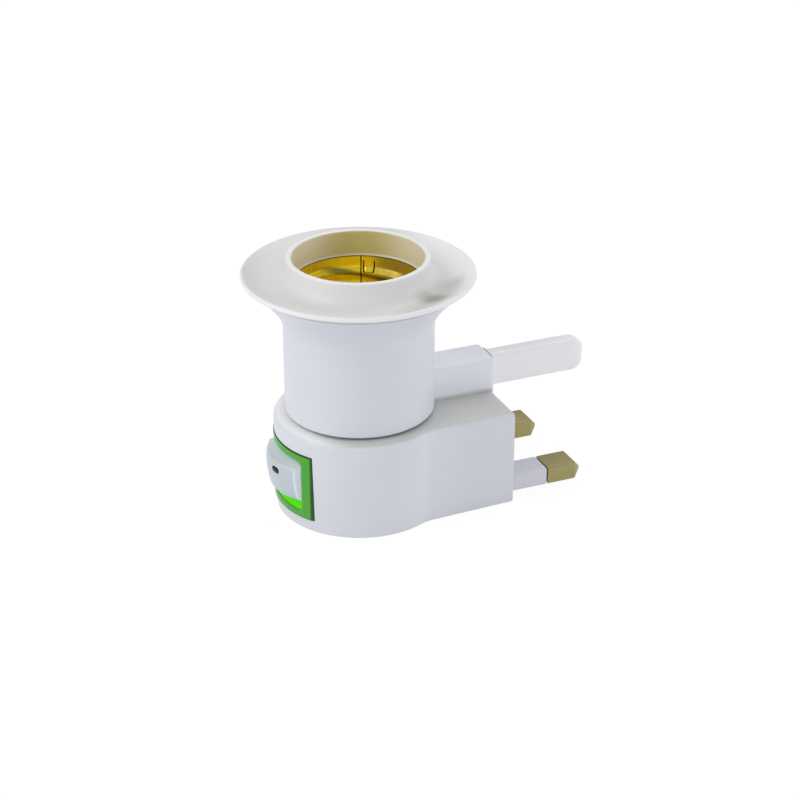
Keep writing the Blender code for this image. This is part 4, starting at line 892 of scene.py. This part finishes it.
class Finish:
    """A material under construction."""

    def __init__(self, name, **constants):
        self.material = bpy.data.materials.new(name)
        self.material.use_nodes = True
        self.tree = self.material.node_tree
        self.shader = self.tree.nodes["Principled BSDF"]
        for socket, value in constants.items():
            self.shader.inputs[socket.replace("_", " ")].default_value = value

    def put(self, socket, value):
        if isinstance(value, Wire):
            self.tree.links.new(value.socket, socket)
        else:
            socket.default_value = value

    def find(self, items, key):
        if isinstance(key, int):
            return items[key]
        return next(item for item in items if item.name == key and item.enabled)

    def add(self, kind, settings=None, sockets=None, output=0):
        """Add a node: its settings first, then the values or links of its sockets."""
        node = self.tree.nodes.new("ShaderNode" + kind)
        for key, value in (settings or {}).items():
            setattr(node, key, value)
        for key, value in (sockets or {}).items():
            self.put(self.find(node.inputs, key), value)
        return Wire(self, self.find(node.outputs, output))

    def split(self):
        """The three object coordinates as single values."""
        spot = self.add("TexCoord", output="Object")
        apart = self.add("SeparateXYZ", sockets={"Vector": spot})
        return [Wire(self, item) for item in apart.socket.node.outputs]

    def grain(self, scale, detail=2.0, stretch=(1.0, 1.0, 1.0)):
        """Smooth noise from 0 to 1, its scale in cycles to a metre, stretched along the axes."""
        spot = self.add("TexCoord", output="Object")
        spot = self.add("Mapping", sockets={"Vector": spot, "Scale": stretch})
        return self.add("TexNoise", sockets={"Vector": spot, "Scale": scale, "Detail": detail})

    def step(self, value, low, high):
        """0 below low, 1 above high, and a smooth slope between."""
        sockets = {"Value": value, "From Min": low, "From Max": high}
        return self.add("MapRange", {"interpolation_type": "SMOOTHSTEP"}, sockets)

    def blend(self, first, second, factor):
        return self.add("Mix", {"data_type": "RGBA"}, {"Factor": factor, "A": first, "B": second}, "Result")

    def bump(self, height, distance, strength):
        return self.add("Bump", sockets={"Height": height, "Distance": distance, "Strength": strength})

    def shade(self, **sockets):
        for name, value in sockets.items():
            self.put(self.shader.inputs[name.replace("_", " ")], value)
        return self.material


BLACK = (0.0, 0.0, 0.0, 1.0)
WHITE = (1.0, 1.0, 1.0, 1.0)


def tone(red, green, blue):
    """A colour as it is seen on a screen, from 0 to 255, as the shader wants it."""
    made = []
    for value in (red, green, blue):
        share = value / 255
        made.append(share / 12.92 if share <= 0.04045 else ((share + 0.055) / 1.055) ** 2.4)
    return (*made, 1.0)


def wear(piece, finish):
    piece.data.materials.clear()
    piece.data.materials.append(finish)


# %% [markdown]
# ## Finishes
#
# The white mouldings are a cool white with very slight clouding, a soft gloss that varies a little, and a
# skin that is not quite flat, as moulded plastic has. A flat colour would look like a drawing, and a strong
# pattern would look like stone, so every variation is a few parts in a hundred.

# %% White mouldings


def moulded(name, colour, shade_colour, gloss, cloud_scale=90.0, tint=None, **constants):
    finish = Finish(name, Specular_IOR_Level=0.45, **constants)
    cloud = finish.grain(cloud_scale, 3.0)
    speck = finish.step(finish.grain(1400.0, 1.0), 0.68, 0.78)
    colour_now = finish.blend(colour, shade_colour, 0.65 * cloud)
    colour_now = finish.blend(colour_now, tone(196, 194, 190), 0.10 * speck)
    if tint:
        colour_now = tint(finish, colour_now)
    rough = gloss + 0.10 * finish.grain(240.0, 3.0) + 0.04 * speck
    skin = finish.grain(2600.0, 2.0) * 0.35 + finish.grain(330.0, 2.0)
    return finish.shade(Base_Color=colour_now, Roughness=rough, Normal=finish.bump(skin, 0.000035, 0.5))


# %% [markdown]
# Three mouldings also change by place, and most of it is painted light and shade. The collar's inner wall
# over the brass is painted with the brass's yellow as a painted reflection, and its lip is painted pale as a
# highlight. The bore behind the shell is painted dark as shade, so that the shell's seam shows as a line. The
# dish has its own pale colour, a painted highlight on the right, a painted shade band, a painted shadow of
# the collar as a dark smear, and a painted highlight on the rim's edge with a painted shade line under it.
# The base's upper face is painted pale over the switch and greyer behind, and its boss pale, as painted light
# and shade. Where the barrel stands on the base, both have a painted shade line. The collar's wall and lip
# and the rocker's rolled end and sides give off a faint painted glow, for what the brass throws back and the
# plastic lets through.

# %% Tints by place
# Centre of the collar's painted shadow on the dish.
COLLAR_SHADOW_X = 0.0104
COLLAR_SHADOW_Y = -0.0160
# Painted shade for the crease where the barrel stands on the base.
PAINTED_CREASE_SHADE = tone(130, 128, 126)


def barrel_tint_and_painted_light(finish, colour):
    step, blend = finish.step, finish.blend
    x, y, z = finish.split()
    radius = (x * x + y * y) ** 0.5
    dish = step(z, rim_top_z - 0.0030, rim_top_z - 0.0020)
    colour = blend(colour, tone(235, 235, 232), dish)
    # Painted highlight: the dish is painted paler on its right (+X) side.
    right = step(x, 0.0150, 0.0220)
    colour = blend(colour, tone(252, 252, 252), dish * right)
    # Painted shade: a greyer band across the dish at the front right.
    painted_shade_band = step(abs(radius - 0.0195), 0.0040, 0.0010) * step(x - y, 0.0170, 0.0250)
    colour = blend(colour, tone(214, 214, 208), dish * painted_shade_band * step(y, -0.0060, -0.0110))

    # Painted reflection: the collar's inner wall over the brass is painted beige and olive, as the brass's yellow
    # thrown back.
    wall = step(radius, COLLAR_BORE + 0.0005, COLLAR_BORE + 0.0001)
    wall = wall * step(z, shell_top_z + 0.0001, shell_top_z + 0.0008)
    beige = blend(tone(220, 214, 190), tone(224, 220, 208), step(x, 0.0040, 0.0130))
    olive = step(abs(x - 0.0050), 0.0120, 0.0020)
    painted_brass_reflection = blend(beige, tone(188, 178, 104), olive)
    colour = blend(colour, painted_brass_reflection, wall)
    # Painted highlight on the collar's lip. The wall and the lip also get a painted glow in the emission.
    painted_lip_highlight = step(z, collar_top_z - 0.0003, collar_top_z - 0.00005)
    colour = blend(colour, tone(246, 246, 244), painted_lip_highlight)
    painted_glow = blend(BLACK, tone(158, 152, 124), wall)
    finish.shade(Emission_Color=blend(painted_glow, tone(110, 110, 108), painted_lip_highlight))

    # Painted shade: the bore behind the shell is painted dark, so that the seam shows as a line.
    bore = step(radius, COLLAR_BORE + 0.0001, COLLAR_BORE - 0.0001)
    bore = bore * step(z, shell_top_z + 0.0003, shell_top_z + 0.0001)
    colour = blend(colour, tone(84, 72, 28), bore)

    # Painted highlight along the rim's edge, and a painted shade line under the rim.
    lip = step(radius, RIM_RADIUS - 0.0005, RIM_RADIUS - 0.0002)
    colour = blend(colour, tone(250, 250, 249), lip)
    under = step(radius, RIM_RADIUS - 0.0022, RIM_RADIUS - 0.0012)
    under = under * step(z, rim_top_z - 0.0010, rim_top_z - 0.0013)
    colour = blend(colour, tone(176, 176, 178), 0.8 * under)

    # Painted shadow of the collar: a dark smear on the dish at the front right.
    across, along = x - COLLAR_SHADOW_X, y - COLLAR_SHADOW_Y
    painted_collar_shadow = step((across * across + along * along * 1.6) ** 0.5, 0.0046, 0.0004)
    painted_collar_shadow = painted_collar_shadow * step(z, rim_top_z - 0.0030, rim_top_z - 0.0026)
    colour = blend(colour, tone(112, 114, 98), 0.62 * painted_collar_shadow)

    # Painted shade at the barrel's foot, where it stands on the base.
    foot = step(z, barrel_low.z + 0.0003, barrel_low.z + 0.0001)
    return blend(colour, PAINTED_CREASE_SHADE, 0.6 * foot)


def base_painted_light(finish, colour):
    step, blend = finish.step, finish.blend
    x, y, z = finish.split()
    radius = (x * x + y * y) ** 0.5
    # Painted shade in a ring on the base round the barrel's foot.
    painted_foot_shade = step(radius, BARREL_RADIUS + 0.0002, BARREL_RADIUS + 0.0001)
    colour = blend(colour, PAINTED_CREASE_SHADE, 0.6 * painted_foot_shade)
    # Painted light and shade: the block behind the barrel is painted greyer, the top face paler over the switch
    # and greyer towards the boss, and the boss paler.
    raised = step(z, BASE_HEIGHT + 0.0002, BASE_HEIGHT + 0.0012)
    upper = step(z, BASE_HEIGHT - 0.0008, BASE_HEIGHT - 0.0001)
    colour = blend(colour, tone(223, 225, 229), 0.9 * step(x, 0.0120, 0.0200))
    colour = blend(colour, tone(252, 252, 252), upper * step(x, -0.0060, -0.0160))
    colour = blend(colour, tone(206, 206, 203), upper * step(x, -0.0160, -0.0060))
    return blend(colour, tone(242, 243, 247), raised)


def rocker_painted_glow(finish, colour):
    y, z = finish.split()[1:]
    # Painted glow: the rocker's rolled upper end and side edges emit a faint light.
    rolled = finish.step(z, SWITCH_Z + 0.0034, SWITCH_Z + 0.0044)
    edge = finish.step(abs(y), ROCKER_HALF_WIDTH - 0.0006, ROCKER_HALF_WIDTH - 0.0003)
    painted_glow = finish.blend(BLACK, tone(206, 212, 222), rolled.at_least(edge))
    finish.shade(Emission_Color=painted_glow)
    return colour


wear(barrel, moulded("barrel_plastic_moulded", tone(230, 232, 239), tone(224, 226, 233), 0.34,
                     tint=barrel_tint_and_painted_light, Emission_Strength=0.20))
wear(base, moulded("housing_plastic_moulded", tone(232, 234, 238), tone(224, 226, 231), 0.32, tint=base_painted_light))
wear(copies["bottom_cover"], moulded("cover_plastic_moulded", tone(226, 227, 234), tone(217, 218, 226), 0.40))
wear(earth_pin, moulded("earth_pin_plastic", tone(254, 254, 254), tone(248, 249, 249), 0.28, 160.0))
for sleeve in sleeves:
    wear(sleeve, moulded(sleeve.name + "_plastic", tone(226, 225, 233), tone(216, 215, 225), 0.30, 200.0))
wear(rocker, moulded("rocker_plastic_moulded", tone(206, 214, 220), tone(196, 205, 212), 0.30, 160.0,
                     tint=rocker_painted_glow, Emission_Strength=0.26))
print("white finishes made")

# %% [markdown]
# The switch's body is a green plastic that lets some light through, so it glows lime where it is thin and
# lit from behind, in the recess under the rocker. The glow is a mask on position: it is strongest low in
# the window and fades towards the frame.

# %% Green body and dark lens
green = Finish("green_plastic_translucent", Roughness=0.32, Specular_IOR_Level=0.35, Emission_Strength=0.42)
x, y, z = green.split()
height = abs(z - SWITCH_Z)
# Painted light: a lime glow, in colour and emission, low in the window and fading towards the frame.
depth = green.step((x * x + y * y) ** 0.5, BEZEL_RADIUS - 0.0002, BEZEL_RADIUS - 0.0007)
inside = green.step(abs(y), BEZEL_HALF_WIDTH - 0.0005, BEZEL_HALF_WIDTH - 0.0010)
inside = inside * green.step(height, BEZEL_HALF_HEIGHT - 0.0005, BEZEL_HALF_HEIGHT - 0.0010)
painted_glow = depth * inside * green.step(z, SWITCH_Z - 0.0012, SWITCH_Z - 0.0040)
streak = green.grain(260.0, 2.0, (1.0, 1.0, 0.25))
frame_colour = green.blend(tone(84, 182, 54), tone(66, 156, 42), 0.8 * streak)
outline = green.step(abs(y), BEZEL_HALF_WIDTH - 0.00028, BEZEL_HALF_WIDTH - 0.00012)
outline = outline.at_least(green.step(height, BEZEL_HALF_HEIGHT - 0.00028, BEZEL_HALF_HEIGHT - 0.00012))
frame_colour = green.blend(frame_colour, tone(26, 62, 22), 0.8 * outline)
colour = green.blend(frame_colour, tone(96, 214, 22), painted_glow)
skin = green.bump(green.grain(900.0, 2.0), 0.00003, 0.5)
wear(bezel, green.shade(Base_Color=colour, Normal=skin,
                        Emission_Color=green.blend(BLACK, tone(96, 230, 10), painted_glow)))

dark = Finish("mark_lens_dark", Specular_IOR_Level=0.2, Coat_Weight=0.1, Coat_Roughness=0.12)
spot = dark.grain(900.0, 2.0)
wear(lens, dark.shade(Base_Color=dark.blend(tone(24, 4, 12), tone(40, 12, 22), spot),
                      Roughness=0.18 + 0.12 * spot, Normal=dark.bump(spot, 0.00002, 0.4)))
print("switch finishes made")

# %% [markdown]
# The shell is bright rolled brass. Rolling leaves faint streaks along its height, handling leaves small
# dark specks, and it tarnishes a little to orange in places. Its -X side is painted orange along the streaks
# as a painted reflection, its +X side olive-dark as painted shade, and one groove at the back is painted dark as
# shade. A faint glow stands in for the light caught inside it. The pins are a duller brass with fine lines
# from drawing.

# %% Brass
brass = Finish("shell_brass_rolled", Metallic=0.55, Emission_Strength=0.11)
x, y, z = brass.split()
streak = brass.grain(520.0, 3.0, (1.0, 1.0, 0.12))
speck = brass.step(brass.grain(1500.0, 2.0), 0.66, 0.72)
tarnish = brass.step(brass.grain(150.0, 3.0), 0.45, 0.75)
# Painted reflection and shade by side: the -X side is painted orange along the streaks, the +X side olive-dark.
side = brass.step(x, 0.0050, 0.0105)
painted_warm_reflection = brass.step(-1.0 * x, -0.0005, 0.0075)
colour = brass.blend(tone(255, 238, 58), tone(250, 216, 30), streak)
colour = brass.blend(colour, tone(196, 120, 20), 0.55 * painted_warm_reflection * streak + 0.10 * tarnish)
colour = brass.blend(colour, tone(150, 134, 66), 0.75 * side)
colour = brass.blend(colour, tone(92, 60, 16), 0.75 * speck)
# Painted shade: one thread groove at the back is painted dark.
painted_groove_shade = brass.step(abs(z + 0.23 * x - 0.0492), 0.0010, 0.0003) * brass.step(x, -0.0060, 0.0)
painted_groove_shade = painted_groove_shade * brass.step(y, 0.0, 0.0040)
colour = brass.blend(colour, tone(104, 92, 50), 0.75 * painted_groove_shade)
bounce = brass.blend(tone(250, 222, 0), tone(90, 66, 10), side.at_least(0.7 * streak).at_least(painted_groove_shade))
wear(shell, brass.shade(Base_Color=colour, Emission_Color=bounce, Roughness=0.22 + 0.14 * streak + 0.15 * tarnish,
                        Normal=brass.bump(streak + 0.4 * tarnish, 0.00006, 0.6)))


def drawn_brass(name, bright, dull, stretch):
    finish = Finish(name, Metallic=0.6)
    line = finish.grain(2600.0, 2.0, stretch)
    cloud = finish.grain(220.0, 3.0)
    colour = finish.blend(bright, dull, 0.55 * cloud + 0.35 * line)
    return finish.shade(Base_Color=colour, Roughness=0.30 + 0.16 * line + 0.08 * cloud,
                        Normal=finish.bump(line, 0.00003, 0.6))


for pin in brass_pins:
    wear(pin, drawn_brass(pin.name + "_brass", tone(176, 166, 114), tone(142, 132, 82), (0.05, 1.0, 1.0)))
contact_brass = drawn_brass("contact_brass", tone(214, 178, 84), tone(178, 140, 58), (0.06, 1.0, 1.0))
for node in ("centre_contact", "centre_rivet", "shell_rivet_1", "shell_rivet_2",
             "seesaw_contact", "fulcrum_terminal", "side_terminal"):
    wear(copies[node], contact_brass)
print("brass finishes made")

# %% [markdown]
# The rest is hidden in use but seen when the object is opened or turned over: zinc-plated screws with a
# faint brushed look, a cream nylon carrier, and brown and blue insulation with the slight ripple that
# extrusion leaves.

# %% Steel, nylon and insulation
steel = Finish("plated_steel_brushed", Metallic=1.0)
line = steel.grain(3000.0, 2.0, (1.0, 0.2, 1.0))
cloud = steel.grain(500.0, 3.0)
steel_look = steel.shade(Base_Color=steel.blend(tone(196, 196, 192), tone(160, 160, 156), cloud),
                         Roughness=0.24 + 0.18 * line, Normal=steel.bump(line, 0.00002, 0.5))
nylon = moulded("carrier_nylon_moulded", tone(226, 218, 198), tone(214, 204, 182), 0.45, 200.0)
for node, piece in copies.items():
    if slot_of[node] == "plated_steel":
        wear(piece, steel_look)
    if slot_of[node] == "carrier_nylon":
        wear(piece, nylon)


def insulation(name, colour, dark_colour):
    finish = Finish(name)
    ripple = finish.grain(900.0, 2.0)
    return finish.shade(Base_Color=finish.blend(colour, dark_colour, ripple), Roughness=0.38 + 0.12 * ripple,
                        Normal=finish.bump(ripple, 0.00004, 0.6))


live_look = insulation("live_insulation_extruded", tone(116, 62, 34), tone(88, 44, 24))
wear(copies["live_wire"], live_look)
wear(copies["switched_wire"], live_look)
wear(copies["neutral_wire"], insulation("neutral_insulation_extruded", tone(44, 92, 178), tone(30, 68, 140)))
print("all finishes made")

# %% [markdown]
# ## Floor, light and camera
#
# The object was photographed on white, with no shadow to speak of. A warm light comes from the upper left,
# a plain one from behind, and cooler ones from both sides and from low in front. White that comes from more
# light would bleach the object too. So the floor is white only to the camera, in mirror images and through
# clear things, and the world only to the camera. The lamps stay soft.

# %% Floor and world
let_go()
bpy.ops.mesh.primitive_plane_add(size=4.0)
floor = named("floor")
ground = Finish("floor_white")
seen = ground.add("LightPath", output="Is Camera Ray")
mirrored = ground.add("LightPath", output="Is Glossy Ray")
through = ground.add("LightPath", output="Is Transmission Ray")
white = ground.add("Emission", sockets={"Color": WHITE, "Strength": 1.05})
matt = ground.add("BsdfDiffuse", sockets={"Color": (0.86, 0.86, 0.87, 1.0)})
share = 0.90 * (seen + mirrored + through).at_most(1.0)
mixed = ground.add("MixShader", sockets={0: share, 1: matt, 2: white})
ground.tree.links.new(mixed.socket, ground.tree.nodes["Material Output"].inputs["Surface"])
wear(floor, ground.material)

world = bpy.data.worlds.new("white_room")
bpy.context.scene.world = world
world.use_nodes = True
room = world.node_tree
sky = room.nodes["Background"]
path = room.nodes.new("ShaderNodeLightPath")
backdrop = room.nodes.new("ShaderNodeBackground")
backdrop.inputs["Color"].default_value = WHITE
sky.inputs["Color"].default_value = (0.96, 0.97, 1.0, 1.0)
sky.inputs["Strength"].default_value = 0.46
joined = room.nodes.new("ShaderNodeMixShader")
room.links.new(path.outputs["Is Camera Ray"], joined.inputs[0])
room.links.new(sky.outputs[0], joined.inputs[1])
room.links.new(backdrop.outputs[0], joined.inputs[2])
room.links.new(joined.outputs[0], room.nodes["World Output"].inputs["Surface"])
print("floor and world made")

# %% Soft lamps
LAMP_AIM = Vector((0.01, 0.0, 0.025))


def soft_lamp(name, place, size, power, colour=(1.0, 1.0, 1.0)):
    let_go()
    bpy.ops.object.light_add(type="AREA", location=place)
    lamp = bpy.context.object
    lamp.name = name
    lamp.data.shape = "DISK"
    lamp.data.size = size
    lamp.data.energy = power
    lamp.data.color = colour
    lamp.rotation_euler = (LAMP_AIM - Vector(place)).to_track_quat("-Z", "Y").to_euler()


soft_lamp("key", (-0.58, 0.00, 0.60), 0.50, 1.4, (1.0, 0.985, 0.96))
soft_lamp("back", (0.36, 0.34, 0.72), 0.60, 1.6)
soft_lamp("left", (-0.88, -0.06, 0.34), 0.60, 1.4, (0.92, 0.95, 1.0))
soft_lamp("right", (0.88, -0.35, 0.20), 0.60, 2.3, (0.92, 0.95, 1.0))
soft_lamp("front", (-0.30, -0.88, 0.25), 0.60, 0.9, (0.93, 0.96, 1.0))

# %% The camera, fitted to the photograph
AIM = Vector((0.0095, 0.0, 0.02207))
AZIMUTH = math.radians(-22.71)
ELEVATION = math.radians(26.70)
DISTANCE = 0.43776
back = Vector((math.sin(AZIMUTH) * math.cos(ELEVATION), -math.cos(AZIMUTH) * math.cos(ELEVATION),
               math.sin(ELEVATION)))
let_go()
bpy.ops.object.camera_add(location=AIM + back * DISTANCE)
camera = bpy.context.object
camera.rotation_euler = (-back).to_track_quat("-Z", "Y").to_euler()
camera.data.lens = 90.0
camera.data.sensor_width = 36.0
camera.data.clip_start = 0.01
bpy.context.scene.camera = camera
bpy.context.scene.view_settings.view_transform = "Standard"
print("camera at", [round(value, 4) for value in camera.location])
